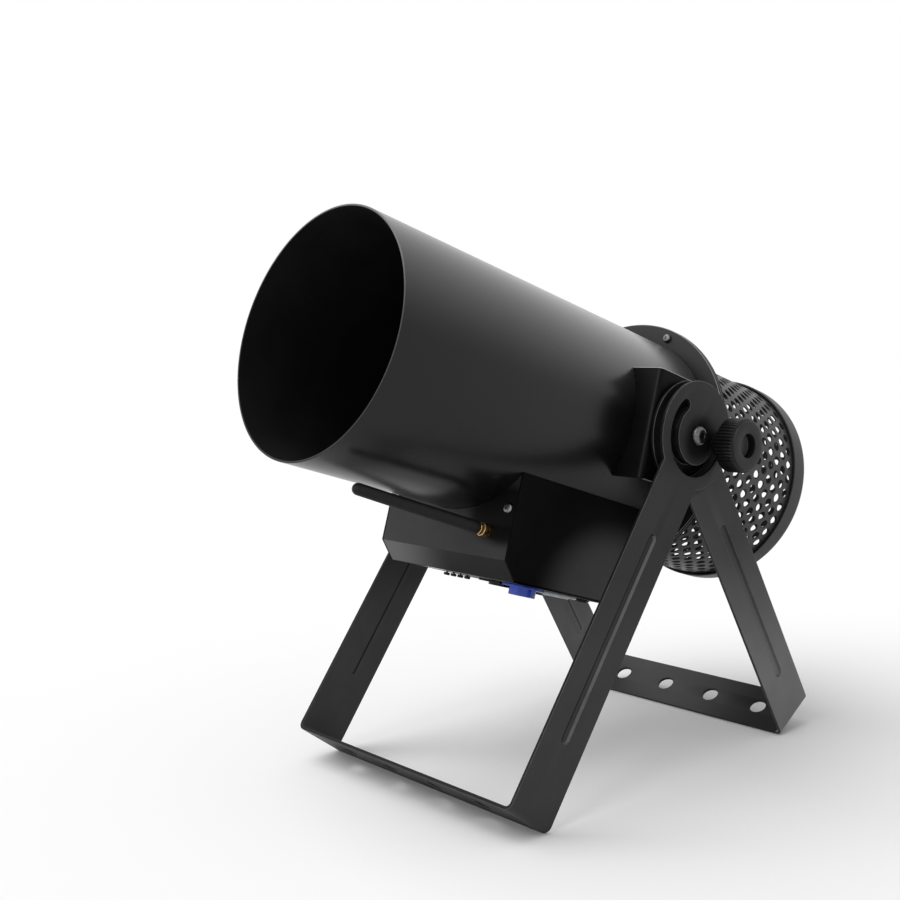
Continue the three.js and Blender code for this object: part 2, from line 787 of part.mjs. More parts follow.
function addYoke(name, halfWidth, reach, lean, grooveFootGap) {
  const path = rounded([
    [-halfWidth, -headRadius / 2],
    [-halfWidth, -reach],
    [halfWidth, -reach],
    [halfWidth, -headRadius / 2],
  ], yokeBend);
  const adds = [plateAcrossY(polygon(bentSheet(path, sheet)), -armWidth / 2, armWidth)];
  const cuts = [];
  for (const side of [-1, 1]) {
    const inner = side > 0 ? halfWidth - sheet : -halfWidth;
    adds.push(plateAcrossX(headOutline(), inner, sheet));
    cuts.push(plateAcrossX(headSlot(), inner - cutOverrun, sheet + 2 * cutOverrun));
    cuts.push(alongX(disc(boltRadius + runGap, 0, halfWidth + cutOverrun, smallFacets), side));
    const bottom = side * (halfWidth - grooveDepth);
    const outside = side * (halfWidth + cutOverrun);
    const groove = armGroove(reach, grooveFootGap);
    cuts.push(plateAcrossX(groove, Math.min(bottom, outside), cutOverrun + grooveDepth));
  }
  for (let i = 0; i < stripHoleCount; i += 1) {
    const x = (i - (stripHoleCount - 1) / 2) * stripHolePitch;
    const hole = disc(stripHoleRadius, reach - sheet - cutOverrun, reach + cutOverrun, smallFacets);
    cuts.push(alongDown(hole).translate(x, 0, 0));
  }
  const yoke = addMesh(blowerGroup, name, joined(adds, cuts), powderBlack);
  yoke.rotation.x = lean;
}

// Control box: side and rear walls in one, a front cover, and the panel as its floor
function addBoxBody() {
  const outline = polygon([
    [-boxFront, -boxTop],
    [-boxFront, -boxBottom + boxChamfer],
    [-boxFront + boxChamfer, -boxBottom],
    [boxRear, -boxBottom],
    [boxRear, -boxTop],
  ]);
  const inside = boxHalfWidth - boxSheet;
  const parts = [
    plateAcrossX(outline, -boxHalfWidth, boxSheet),
    plateAcrossX(outline, inside, boxSheet),
    block([-boxHalfWidth, boxRear - boxSheet, -boxBottom], [boxHalfWidth, boxRear, -boxTop]),
  ];
  const tabFront = -boxFront + boxSheet + seatGap;
  for (const side of [-1, 1]) {
    parts.push(block([side * (inside - boxTabWidth), tabFront, boxScrewZ - boxTabHeight / 2],
      [side * boxHalfWidth, tabFront + boxSheet, boxScrewZ + boxTabHeight / 2]));
  }
  const cuts = [barrelCut(), ...boxScrewHoles()];
  addMesh(machine, 'box_body', joined(parts, cuts), satinBlack);
}

function boxScrewHoles() {
  return [-1, 1].map((side) => {
    const hole = disc(screwHole, -boxFront - cutOverrun, -boxFront + 2 * cutOverrun, screwFacets);
    return hole.translate(side * boxScrewX, 0, boxScrewZ);
  });
}

function addFrontCover() {
  const path = [
    [-boxFront + boxChamfer, -boxBottom],
    [-boxFront, -boxBottom + boxChamfer],
    [-boxFront, -boxTop],
  ];
  const section = bentSheet(path, -boxSheet);
  const cover = plateAcrossX(polygon(section), -panelHalfWidth, 2 * panelHalfWidth);
  const jackHole = disc(jackThreadRadius + seatGap, -boxFront - cutOverrun, -boxFront + cutOverrun,
    smallFacets);
  jackHole.translate(antennaX, 0, antennaZ);
  addMesh(machine, 'front_cover', joined([cover], [barrelCut(), ...boxScrewHoles(), jackHole]), satinBlack);
  for (const [side, label] of [[1, 'left'], [-1, 'right']]) {
    const screw = panScrew(2 * boxSheet + seatGap + screwEnd);
    screw.translate(side * boxScrewX, -boxFront - seatGap, boxScrewZ);
    addMesh(machine, `${label}_box_screw`, screw, brightSteel);
  }
}

const displayY = -boxFront + displaySetback;
const buttonY = -boxFront + buttonSetback;
const fuseY = -boxFront + fuseSetback;

function buttonX(i) {
  return displayX + (i - (buttonCount - 1) / 2) * buttonPitch;
}

function connectorY(row) {
  return -boxFront + connectorSetback + row * connectorPitch;
}

// A vertical hole through the panel's sheet.
function panelHole(radius, x, y) {
  const hole = disc(radius, boxBottom - boxSheet - cutOverrun, boxBottom + cutOverrun, smallFacets);
  return alongDown(hole).translate(x, y, 0);
}

function addPanel() {
  const front = -boxFront + boxChamfer + boxSheet;
  const plate = block([-panelHalfWidth, front, -boxBottom],
    [panelHalfWidth, boxRear - boxSheet - seatGap, panelTop]);
  const cuts = [
    block([displayX - displayWidth / 2, displayY - displayHeight / 2, -boxBottom - cutOverrun],
      [displayX + displayWidth / 2, displayY + displayHeight / 2, panelTop + cutOverrun]),
    panelHole(fuseBodyRadius + seatGap, connectorColumnX, fuseY),
  ];
  for (let i = 0; i < buttonCount; i += 1) {
    cuts.push(panelHole(buttonStemRadius + seatGap, buttonX(i), buttonY));
  }
  for (const row of [0, 1]) {
    cuts.push(panelHole(powerBodyRadius + seatGap, connectorColumnX, connectorY(row)));
    cuts.push(panelHole(signalBodyRadius + seatGap, signalColumnX, connectorY(row)));
  }
  addMesh(machine, 'control_panel', joined([plate], cuts), satinBlack);
}

function addDisplay() {
  const [w, h] = [displayWidth / 2 - seatGap, displayHeight / 2 - seatGap];
  const lip = panelTop + seatGap;
  const window = block([displayX - w, displayY - h, -boxBottom],
    [displayX + w, displayY + h, lip + displayThickness]);
  const edge = block([displayX - w - displayLip, displayY - h - displayLip, lip],
    [displayX + w + displayLip, displayY + h + displayLip, lip + displayThickness]);
  addMesh(machine, 'display_window', joined([window, edge]), smokedWindow);
}

function addButtons() {
  const capTop = boxBottom + buttonTravel + seatGap;
  const stemTop = boxBottom - boxSheet - panelPostHeight + buttonTravel + seatGap;
  const collar = boxBottom - boxSheet - seatGap;
  for (let i = 0; i < buttonCount; i += 1) {
    const button = turned([
      [0, stemTop],
      [buttonStemRadius, stemTop],
      [buttonStemRadius, collar - buttonCollar],
      [buttonCapRadius, collar - buttonCollar],
      [buttonCapRadius, collar],
      [buttonStemRadius, collar],
      [buttonStemRadius, capTop],
      [buttonCapRadius, capTop],
      [buttonCapRadius, capTop + buttonCapHeight],
      [0, capTop + buttonCapHeight],
    ], screwFacets);
    alongDown(button).translate(buttonX(i), buttonY, 0);
    addMesh(machine, `menu_button_${i + 1}`, button, blackPlastic);
  }
}

// A panel connector: a square flange under the panel, a round body through it, a socket from below.
function connector(bodyRadius, proud, depth, socketRadius, socketDepth) {
  const under = boxBottom + seatGap;
  const mouth = under + connectorFlange + proud;
  const flange = block([-connectorWidth / 2, -connectorHeight / 2, -under - connectorFlange],
    [connectorWidth / 2, connectorHeight / 2, -under]);
  const body = alongDown(disc(bodyRadius, under - depth, mouth, discFacets));
  const socket = alongDown(disc(socketRadius, mouth - socketDepth, mouth + cutOverrun, smallFacets));
  return { adds: [flange, body], cuts: [socket], mouth };
}

function addConnectors() {
  const power = [
    ['power_inlet', bluePlastic, powerInletProud],
    ['power_outlet', palePlastic, powerOutletProud],
  ];
  for (const [row, [name, finish, proud]] of power.entries()) {
    const { adds, cuts } = connector(
      powerBodyRadius, proud, powerDepth, powerSocketRadius, powerSocketDepth);
    addMesh(machine, name, joined(adds, cuts).translate(connectorColumnX, connectorY(row), 0), finish);
  }
  const inlet = connector(signalBodyRadius, signalProud, signalDepth, signalSocketRadius, signalSocketDepth);
  addMesh(machine, 'signal_inlet',
    joined(inlet.adds, inlet.cuts).translate(signalColumnX, connectorY(0), 0), blackPlastic);
  const outlet = connector(signalBodyRadius, signalProud, signalDepth, signalSocketRadius, signalSocketDepth);
  const pins = [-1, 0, 1].map((step) => {
    const angle = quarterTurn + step * signalPinStepDeg * rad;
    const pin = disc(signalPinHoleRadius, outlet.mouth - signalPinHoleDepth, outlet.mouth + cutOverrun,
      screwFacets);
    return alongDown(pin).translate(signalPinRing * Math.cos(angle), signalPinRing * Math.sin(angle), 0);
  });
  addMesh(machine, 'signal_outlet',
    joined(outlet.adds, pins).translate(signalColumnX, connectorY(1), 0), blackPlastic);
}

function addFuseHolder() {
  const under = boxBottom + seatGap;
  const end = under + fuseRimHeight + fuseCapHeight;
  const holder = alongDown(turned([
    [0, under - fuseDepth],
    [fuseBodyRadius, under - fuseDepth],
    [fuseBodyRadius, under],
    [fuseRimRadius, under],
    [fuseRimRadius, under + fuseRimHeight],
    [fuseCapRadius, under + fuseRimHeight],
    [fuseCapRadius, end],
    [0, end],
  ], smallFacets));
  const slot = block([-fuseCapRadius - cutOverrun, -fuseSlotWidth / 2, -end - cutOverrun],
    [fuseCapRadius + cutOverrun, fuseSlotWidth / 2, -end + fuseSlotDepth]);
  const cut = joined([holder], [slot]).translate(connectorColumnX, fuseY, 0);
  addMesh(machine, 'fuse_holder', cut, blackPlastic);
}

// A circuit board in the XY plane on four posts that reach down to z = 0, with a raised block of parts.
function board(width, length, postHeight, partsHeight) {
  const plate = block([-width / 2, -length / 2, postHeight],
    [width / 2, length / 2, postHeight + boardThickness]);
  const parts = [plate];
  for (const sx of [-1, 1]) {
    for (const sy of [-1, 1]) {
      const post = disc(postRadius, 0, postHeight + boardThickness / 2, screwFacets).rotateX(quarterTurn);
      parts.push(post.translate(sx * (width / 2 - postInset), sy * (length / 2 - postInset), 0));
    }
  }
  const margin = boardPartsMargin + postInset + postRadius;
  parts.push(block([-width / 2 + margin, -length / 2 + margin, postHeight],
    [width / 2 - margin, length / 2 - margin, postHeight + boardThickness + partsHeight]));
  return joined(parts);
}

function addBoards() {
  const x0 = -panelHalfWidth + panelBoardToWall;
  const x1 = signalColumnX - signalBodyRadius - panelBoardToConnector;
  const control = board(x1 - x0, panelBoardLength, panelPostHeight - seatGap, receiverPartsHeight);
  control.translate((x0 + x1) / 2, (displayY + buttonY) / 2, panelTop + seatGap);
  addMesh(machine, 'control_board', control, boardGreen);

  // On the left wall, parts facing inwards
  const driver = board(driverBoardHeight, driverBoardLength, wallPostHeight, driverPartsHeight);
  driver.rotateY(-quarterTurn);
  driver.translate(boxHalfWidth - boxSheet - seatGap, (boxRear - boxFront) / 2,
    panelTop + driverBoardHeight / 2 + seatGap);
  addMesh(machine, 'driver_board', driver, boardGreen);

  // On the inside of the front cover, beside the antenna
  const receiver = board(receiverBoardWidth, receiverBoardHeight, wallPostHeight, receiverPartsHeight);
  receiver.rotateX(-quarterTurn);
  receiver.translate(antennaX - receiverToAntenna, -boxFront + boxSheet + seatGap, antennaZ - receiverLift);
  addMesh(machine, 'receiver_board', receiver, boardGreen);
}

// Antenna: the jack is clamped through the front cover, the rod screws onto it
const antennaZ = -barrelRadius - antennaDrop;

function addAntenna() {
  const inside = boxSheet + seatGap;
  const jack = turned([
    [0, -jackNutThickness - seatGap],
    [jackNutRadius, -jackNutThickness - seatGap],
    [jackNutRadius, -seatGap],
    [jackThreadRadius, -seatGap],
    [jackThreadRadius, inside],
    [jackNutRadius, inside],
    [jackNutRadius, inside + jackNutThickness],
    [0, inside + jackNutThickness],
  ], smallFacets);
  addMesh(machine, 'antenna_jack', jack.translate(antennaX, -boxFront, antennaZ), brass);

  const whip = new THREE.Group();
  whip.position.set(antennaX, -boxFront - seatGap - jackNutThickness, antennaZ);
  whip.rotation.x = -antennaTiltDeg * rad;
  machine.add(whip);
  const start = seatGap + sleeveRadius * Math.sin(antennaTiltDeg * rad);
  const rodStart = start + sleeveLength + seatGap;
  addMesh(whip, 'antenna_sleeve', disc(sleeveRadius, -start - sleeveLength, -start, smallFacets), brass);
  const tipEnd = rodStart + rodLength;
  const tip = [];
  for (let step = 0; step <= arcSteps; step += 1) {
    const angle = (step / arcSteps) * quarterTurn;
    tip.push([rodTipRadius * Math.sin(angle), -tipEnd + rodTipRadius * (1 - Math.cos(angle))]);
  }
  const rod = turned([...tip, [rodBaseRadius, -rodStart], [0, -rodStart]], smallFacets);
  addMesh(whip, 'antenna_rod', rod, rubberBlack);
}

addBarrel();
addFlangeScrews();
addGuard();
addCage();
addCageEnd();
addImpeller();
addMotor();
addMotorBracket();
for (const [side, label] of [[1, 'left'], [-1, 'right']]) {
  addSideBracket(side, label);
  addPivot(side, label);
  addKnob(side, label);
}
addYoke('front_yoke', frontYokeX, frontReach, -frontLean, frontGrooveFootGap);
addYoke('rear_yoke', rearYokeX, rearReach, rearLean, rearGrooveFootGap);
addBoxBody();
addFrontCover();
addPanel();
addDisplay();
addButtons();
addConnectors();
addFuseHolder();
addBoards();
addAntenna();

// The floor is z = 0, and the middle of the length from the mouth to the cap is y = 0.
const frontY = -mouthReach * Math.cos(tilt) - barrelRadius * Math.sin(tilt);
const rearY = Math.max(...capOuterPath().map(([r, y]) => y * Math.cos(tilt) + r * Math.sin(tilt)));
blowerGroup.position.set(0, -(frontY + rearY) / 2, pivotHeight);

export default blowerGroup;
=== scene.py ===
import json
import math

import bmesh
import bpy
from mathutils import Matrix, Vector

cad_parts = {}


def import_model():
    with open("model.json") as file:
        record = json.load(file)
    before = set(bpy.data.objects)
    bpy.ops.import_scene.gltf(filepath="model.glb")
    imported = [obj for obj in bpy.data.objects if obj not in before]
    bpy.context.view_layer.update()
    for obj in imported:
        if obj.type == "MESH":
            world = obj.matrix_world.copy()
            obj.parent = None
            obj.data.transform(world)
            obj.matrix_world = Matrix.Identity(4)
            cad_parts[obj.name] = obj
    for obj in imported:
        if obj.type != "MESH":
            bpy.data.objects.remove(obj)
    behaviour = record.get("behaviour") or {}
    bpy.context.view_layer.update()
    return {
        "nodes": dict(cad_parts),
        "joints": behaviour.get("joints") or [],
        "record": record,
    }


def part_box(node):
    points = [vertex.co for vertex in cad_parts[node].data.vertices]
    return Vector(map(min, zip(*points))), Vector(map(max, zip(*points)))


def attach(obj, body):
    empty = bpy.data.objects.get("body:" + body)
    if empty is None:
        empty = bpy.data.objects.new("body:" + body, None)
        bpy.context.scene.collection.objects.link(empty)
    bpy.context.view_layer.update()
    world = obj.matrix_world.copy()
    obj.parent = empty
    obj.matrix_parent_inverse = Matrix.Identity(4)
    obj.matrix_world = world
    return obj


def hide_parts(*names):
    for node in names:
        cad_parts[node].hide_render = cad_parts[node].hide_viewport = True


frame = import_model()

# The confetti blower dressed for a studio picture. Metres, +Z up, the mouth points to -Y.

MM = 0.001

# Sizes, counts and steps of the pieces made here
BARREL_RADIUS = 108 * MM
BARREL_WALL = 2 * MM
FLANGE_RADIUS = 126 * MM
FLANGE_INSET = 6 * MM
FAN_PLATE_INSET = 18 * MM
GAP = 0.3 * MM
CAGE_RADIUS = 107.7 * MM
CAGE_WALL = 1.5 * MM
CAGE_FLANGE_EDGE = 2 * MM
CAP_CROWN_RADIUS = 8 * MM
CAP_LIP = 12 * MM
CAGE_HOLES_AROUND = 45
CAGE_ROWS = 13
CAGE_HOLE_RADIUS = 4.7 * MM
CAP_HOLE_PITCH = 14 * MM
GUARD_RINGS = 8
GUARD_HUB = 16 * MM
SHAFT_BORE = 5.3 * MM
BLADES = 7
MOTOR_FINS = 9
STUD_RADIUS = 5 * MM
WASHER_RADIUS = 11 * MM
GRIP_RADIUS = 24.5 * MM
GRIP_RIBS = 48
SOCKET_DEPTH = 12 * MM
YOKE_SHEET = 3 * MM
YOKE_WIDTH = 54 * MM
YOKE_HEAD_RADIUS = 49 * MM
YOKE_BEND = 7 * MM
PIVOT_HOLE_RADIUS = 5.5 * MM
SLOT_RADIUS = 32 * MM
SLOT_WIDTH = 11 * MM
SLOT_HALF_ANGLE = math.radians(115)
STRIP_HOLE_RADIUS = 8.5 * MM
STRIP_HOLE_PLACES = [x * MM for x in (-90, -30, 30, 90)]
GROOVE_START = 102 * MM
GROOVE_FOOT_GAP = {"front_yoke": 68 * MM, "rear_yoke": 57 * MM}
GROOVE_WIDTH = 9 * MM
EDGE = 0.35 * MM
SHEET_EDGE = 0.6 * MM
BEND_STEPS = 8
EASE_STEPS = 3
ROUND = 64
SMOOTH_ROUND = 192
SHARP = math.radians(32)

# The studio
FLOOR_TONE = (0.92, 0.92, 0.92)
SOFT_LIGHT = 0.5

# The machine's own frame: the pivot is its origin and the barrel its Y axis
JOINTS = {joint["name"]: joint for joint in frame["joints"]}
PIVOT = Vector(JOINTS["front_yoke_pivot"]["pos_m"])
FORWARD = Vector(JOINTS["fan_spin"]["axis"])
TILT = math.atan2(FORWARD.z, -FORWARD.y)
MACHINE = Matrix.Translation(PIVOT) @ Matrix.Rotation(-TILT, 4, "X")
TO_MACHINE = MACHINE.inverted()
DOWN = -(MACHINE.to_3x3() @ Vector((0, 0, 1)))
BOX_BOTTOM = max(vertex.co.dot(DOWN) for vertex in frame["nodes"]["box_body"].data.vertices)

# Where painted light and shade change the paints' tone, and the axes that count there
UP, ALONG_X, SIDE_ON = (0, 0, 1), (1, 0, 0), (0, 1, 1)
DISC_SHADE = PIVOT + Vector((0, 3, -5)) * MM
BOX_AXES = (0, 0.88, 1.19)
BOX_LIGHT = Vector((0, -20.4, 206.9)) * MM
PANEL_AXES = (0.6, 1, 1)
PANEL_SHADE = (MACHINE @ (Vector((71, -143.5, -108)) * MM)) * Vector(PANEL_AXES)


def in_machine(node):
    """The lowest and highest corner of a CAD node along the machine's own axes."""
    points = [TO_MACHINE @ vertex.co for vertex in frame["nodes"][node].data.vertices]
    return [Vector([end(point[axis] for point in points) for axis in range(3)]) for end in (min, max)]


def across(side, y=0):
    """A frame whose Y axis points out of the machine's side, +1 or -1."""
    return MACHINE @ Matrix.Translation((0, y, 0)) @ Matrix.Rotation(-side * math.pi / 2, 4, "Z")


def downwards(x, y):
    """A frame whose Y axis points down out of the control box."""
    return MACHINE @ Matrix.Translation((x, y, 0)) @ Matrix.Rotation(-math.pi / 2, 4, "X")


# Materials
def node(tree, kind, location, **settings):
    made = tree.nodes.new(kind)
    made.location = location
    for key, value in settings.items():
        setattr(made, key, value)
    return made


def surface(name, dark, light, roughness, metallic=0.0, mottle=60, grain=900, relief=0.03,
            roughness_spread=0.08, stretch=(1, 1, 1), coat=0.0, coat_ior=1.5, coat_roughness=0.2, specular=0.5):
    """A material whose colour, gloss and relief vary with noise at two scales."""
    material = bpy.data.materials.new(name)
    material.use_nodes = True
    tree = material.node_tree
    join = tree.links.new
    shader = tree.nodes["Principled BSDF"]
    for socket, value in (("Metallic", metallic), ("Coat Weight", coat), ("Coat IOR", coat_ior),
                          ("Coat Roughness", coat_roughness), ("Specular IOR Level", specular)):
        shader.inputs[socket].default_value = value
    place = node(tree, "ShaderNodeTexCoord", (-1200, 0))
    mapping = node(tree, "ShaderNodeMapping", (-1000, 0))
    mapping.inputs["Scale"].default_value = stretch
    join(place.outputs["Object"], mapping.inputs["Vector"])
    broad = node(tree, "ShaderNodeTexNoise", (-800, 200))
    fine = node(tree, "ShaderNodeTexNoise", (-800, -200))
    for noise, scale, detail in ((broad, mottle, 6), (fine, grain, 3)):
        noise.inputs["Scale"].default_value = scale
        noise.inputs["Detail"].default_value = detail
        join(mapping.outputs["Vector"], noise.inputs["Vector"])
    colour = node(tree, "ShaderNodeValToRGB", (-500, 300))
    for stop, position, tone in zip(colour.color_ramp.elements, (0.3, 0.7), (dark, light)):
        stop.position = position
        stop.color = (*tone, 1)
    join(broad.outputs["Fac"], colour.inputs["Fac"])
    join(colour.outputs["Color"], shader.inputs["Base Color"])
    gloss = node(tree, "ShaderNodeMapRange", (-500, 0))
    gloss.inputs["To Min"].default_value = max(roughness - roughness_spread, 0.02)
    gloss.inputs["To Max"].default_value = roughness + roughness_spread
    join(broad.outputs["Fac"], gloss.inputs["Value"])
    join(gloss.outputs["Result"], shader.inputs["Roughness"])
    bump = node(tree, "ShaderNodeBump", (-300, -250))
    bump.inputs["Strength"].default_value = 1
    bump.inputs["Distance"].default_value = relief * MM
    join(fine.outputs["Fac"], bump.inputs["Height"])
    join(bump.outputs["Normal"], shader.inputs["Normal"])
    return material


def toned(material, measure, vector, start, end, low, high=1.0, axes=(1, 1, 1)):
    """Scales a paint's colour and shine from low at start to high at end.

    The measure is the DISTANCE from a point or the DOT_PRODUCT with a direction, of the axes that count.
    """
    tree = material.node_tree
    join = tree.links.new
    shader = tree.nodes["Principled BSDF"]
    place = node(tree, "ShaderNodeTexCoord", (-1400, 700))
    chosen = node(tree, "ShaderNodeVectorMath", (-1200, 700), operation="MULTIPLY")
    chosen.inputs[1].default_value = axes
    reach = node(tree, "ShaderNodeVectorMath", (-1000, 700), operation=measure)
    reach.inputs[1].default_value = vector
    share = node(tree, "ShaderNodeMapRange", (-800, 700), interpolation_type="SMOOTHSTEP")
    for socket, value in (("From Min", start), ("From Max", end), ("To Min", low), ("To Max", high)):
        share.inputs[socket].default_value = value
    join(place.outputs["Object"], chosen.inputs[0])
    join(chosen.outputs["Vector"], reach.inputs[0])
    join(reach.outputs["Value"], share.inputs["Value"])
    colour = node(tree, "ShaderNodeVectorMath", (-200, 500), operation="SCALE")
    join(shader.inputs["Base Color"].links[0].from_socket, colour.inputs[0])
    join(share.outputs["Result"], colour.inputs["Scale"])
    join(colour.outputs["Vector"], shader.inputs["Base Color"])
    level = shader.inputs["Specular IOR Level"]
    shine = node(tree, "ShaderNodeMath", (-200, 300), operation="MULTIPLY")
    shine.inputs[0].default_value = level.default_value
    if level.is_linked:
        join(level.links[0].from_socket, shine.inputs[0])
    join(share.outputs["Result"], shine.inputs[1])
    join(shine.outputs["Value"], level)


SATIN_BLACK = surface("satin_black_paint", (0.003, 0.003, 0.0033), (0.0045, 0.0045, 0.0049), 0.4, mottle=14,
                      grain=700, relief=0.01, roughness_spread=0.05, specular=0.04, coat=1, coat_ior=1.32,
                      coat_roughness=0.26)
# Painted highlight: the barrel's paint grows up to nine times lighter towards its top, where the sheen of the light
# falls
toned(SATIN_BLACK, "DOT_PRODUCT", -DOWN, -PIVOT.dot(DOWN), -PIVOT.dot(DOWN) + 0.75 * BARREL_RADIUS, 1, 9)
PLATE_BLACK = surface("plate_black_paint", (0.01, 0.01, 0.0106), (0.015, 0.015, 0.0158), 0.38, mottle=20,
                      specular=0.15)
# Matte black for the barrel's inside; in a bolt's socket and on a knob's recess wall the same black is painted shade
INNER_BLACK_AND_SHADE = surface("inner_black_paint_and_painted_shade", (0.005, 0.005, 0.005), (0.008, 0.008, 0.008), 0.7, mottle=30,
                      relief=0.04, specular=0.08)
POWDER_BLACK = surface("powder_black_coat", (0.024, 0.024, 0.025), (0.033, 0.033, 0.034), 0.5, mottle=30,
                       grain=1100, relief=0.07, roughness_spread=0.07, specular=0.22)
# Painted light and shade on the front yoke's coat: darker towards the top, lighter on the -X side, and a painted
# shadow of the knob on the disc round the bolt
toned(POWDER_BLACK, "DOT_PRODUCT", UP, 0.13, 0.2, 1, 0.7)
toned(POWDER_BLACK, "DOT_PRODUCT", ALONG_X, -0.13, 0, 1.35, 1)
toned(POWDER_BLACK, "DISTANCE", DISC_SHADE, 13 * MM, 27 * MM, 0.3, axes=SIDE_ON)
# Painted shade: a darker copy of the front yoke's coat for its foot strip
FOOT_PAINTED_SHADE = surface("foot_coat_painted_shade", (0.0145, 0.0145, 0.015), (0.0205, 0.0205, 0.021), 0.5, mottle=24,
                     grain=1100, relief=0.07, roughness_spread=0.07, specular=0.13)
# Dark paint for cut edges; in the front yoke's groove it also paints shade on one side
RIM_BLACK = surface("cut_edge_black_and_painted_shade", (0.006, 0.006, 0.006), (0.012, 0.012, 0.012), 0.5, grain=1000,
                    relief=0.06, specular=0.1)
# Painted light and shade on the rear yoke: a lighter copy of the yoke coat where more light falls, darker towards
# the top, with painted shade on its head round the pivot
REAR_COAT_LIGHT_AND_SHADE = surface("rear_coat_painted_light_and_shade", (0.105, 0.105, 0.106), (0.143, 0.143, 0.145), 0.46, mottle=24,
                     grain=1000, relief=0.07, roughness_spread=0.07, specular=0.45)
toned(REAR_COAT_LIGHT_AND_SHADE, "DOT_PRODUCT", UP, 0.02, 0.22, 1, 0.3)
toned(REAR_COAT_LIGHT_AND_SHADE, "DISTANCE", PIVOT, 45 * MM, 60 * MM, 0.2, axes=SIDE_ON)
# Painted light and shade: a lighter copy of the rim paint for the rear yoke, with painted shade round the pivot and
# on one flank of the groove's inner ridge
REAR_RIM_LIGHT_AND_SHADE = surface("rear_rim_painted_light_and_shade", (0.02, 0.02, 0.0205), (0.034, 0.034, 0.035), 0.5, grain=1000, relief=0.06,
                   specular=0.2)
toned(REAR_RIM_LIGHT_AND_SHADE, "DISTANCE", PIVOT, 50 * MM, 64 * MM, 0.2, axes=SIDE_ON)
# Painted shade: a darker copy of the rear yoke's coat for the upper face of its foot strip, darker still towards +X
STRIP_PAINTED_SHADE = surface("strip_coat_painted_shade", (0.031, 0.031, 0.032), (0.045, 0.045, 0.046), 0.46, mottle=24,
                      grain=1000, relief=0.07, roughness_spread=0.07, specular=0.28)
toned(STRIP_PAINTED_SHADE, "DOT_PRODUCT", ALONG_X, 10 * MM, 100 * MM, 1, 0.4)
# Painted highlight: a light line for the front corner of the flange and the fan plate
PLATE_HIGHLIGHT = surface("plate_painted_highlight", (0.12, 0.12, 0.125), (0.17, 0.17, 0.175), 0.35)
# Painted highlight: a light paint for one flank of the front yoke's groove
GROOVE_HIGHLIGHT = surface("groove_painted_highlight", (0.09, 0.09, 0.092), (0.14, 0.14, 0.143), 0.4, relief=0.04,
                       specular=0.4)
# Painted shade: a darker, duller black for the pivot brackets
SHADED_BLACK = surface("bracket_painted_shade", (0.003, 0.003, 0.003), (0.005, 0.005, 0.005), 0.45, mottle=30,
                       grain=1000, relief=0.05, specular=0.06)
# Painted highlight: light lines on the brackets' rounded edges
BRACKET_EDGE_HIGHLIGHT = surface("bracket_edge_painted_highlight", (0.32, 0.32, 0.325), (0.45, 0.45, 0.455), 0.35, mottle=90)
# Painted highlight: a faint light line on one facet of each bracket's fold
BRACKET_FOLD_HIGHLIGHT = surface("bracket_fold_painted_highlight", (0.009, 0.009, 0.0092), (0.015, 0.015, 0.0153), 0.45, specular=0.12)
# Edge wear and painted highlight: a lighter paint for the rounded edges on the yokes' outer faces
EDGE_WEAR_AND_HIGHLIGHT = surface("edge_wear_and_painted_highlight", (0.03, 0.03, 0.031), (0.09, 0.09, 0.092), 0.4, mottle=160, relief=0.04,
                    specular=0.4)
BOX_BLACK = surface("box_black_coat", (0.016, 0.016, 0.016), (0.026, 0.026, 0.026), 0.45, mottle=40,
                    grain=1200, relief=0.06, specular=0.25)
# Painted light and shade on the box's side: a pool of light round one point fading to dark away from it, and painted
# shade along the bottom edge by the gap to the bottom plate
toned(BOX_BLACK, "DISTANCE", BOX_LIGHT, 34 * MM, 78 * MM, 1, 0.13, axes=BOX_AXES)
toned(BOX_BLACK, "DOT_PRODUCT", DOWN, BOX_BOTTOM - 2.2 * MM, BOX_BOTTOM - 1.6 * MM, 1, 0.15)
UNDER_BLACK = surface("underside_coat", (0.004, 0.004, 0.004), (0.007, 0.007, 0.007), 0.45, mottle=40,
                      grain=1200, relief=0.06, specular=0.07)
PANEL_BLACK = surface("front_plate_coat", (0.018, 0.018, 0.0187), (0.027, 0.027, 0.028), 0.36, mottle=26,
                      grain=1200, relief=0.05, specular=0.2)
# Painted shadow on the front plate, round the antenna's connector under the barrel
toned(PANEL_BLACK, "DISTANCE", PANEL_SHADE, 20 * MM, 31 * MM, 0.25, axes=PANEL_AXES)
# Painted reflection: a lighter copy of the front plate's paint for its slanted part, lighter towards -X
SLANT_PAINTED_REFLECTION = surface("slant_painted_reflection", (0.045, 0.045, 0.046), (0.06, 0.06, 0.061), 0.36, mottle=26, grain=1200,
                      relief=0.05, specular=0.4)
toned(SLANT_PAINTED_REFLECTION, "DOT_PRODUCT", ALONG_X, -75 * MM, 10 * MM, 1.1, 0.25)
CAGE_BLACK = surface("cage_black_paint", (0.03, 0.03, 0.031), (0.043, 0.043, 0.044), 0.4, specular=0.28)
CAGE_RIM_BLACK = surface("cage_rim_paint", (0.023, 0.023, 0.024), (0.034, 0.034, 0.035), 0.4, specular=0.24)
BRIGHT_STEEL = surface("bright_steel", (0.085, 0.085, 0.09), (0.16, 0.16, 0.165), 0.32, metallic=1, mottle=220,
                       grain=1500, relief=0.02, stretch=(1, 1, 3))
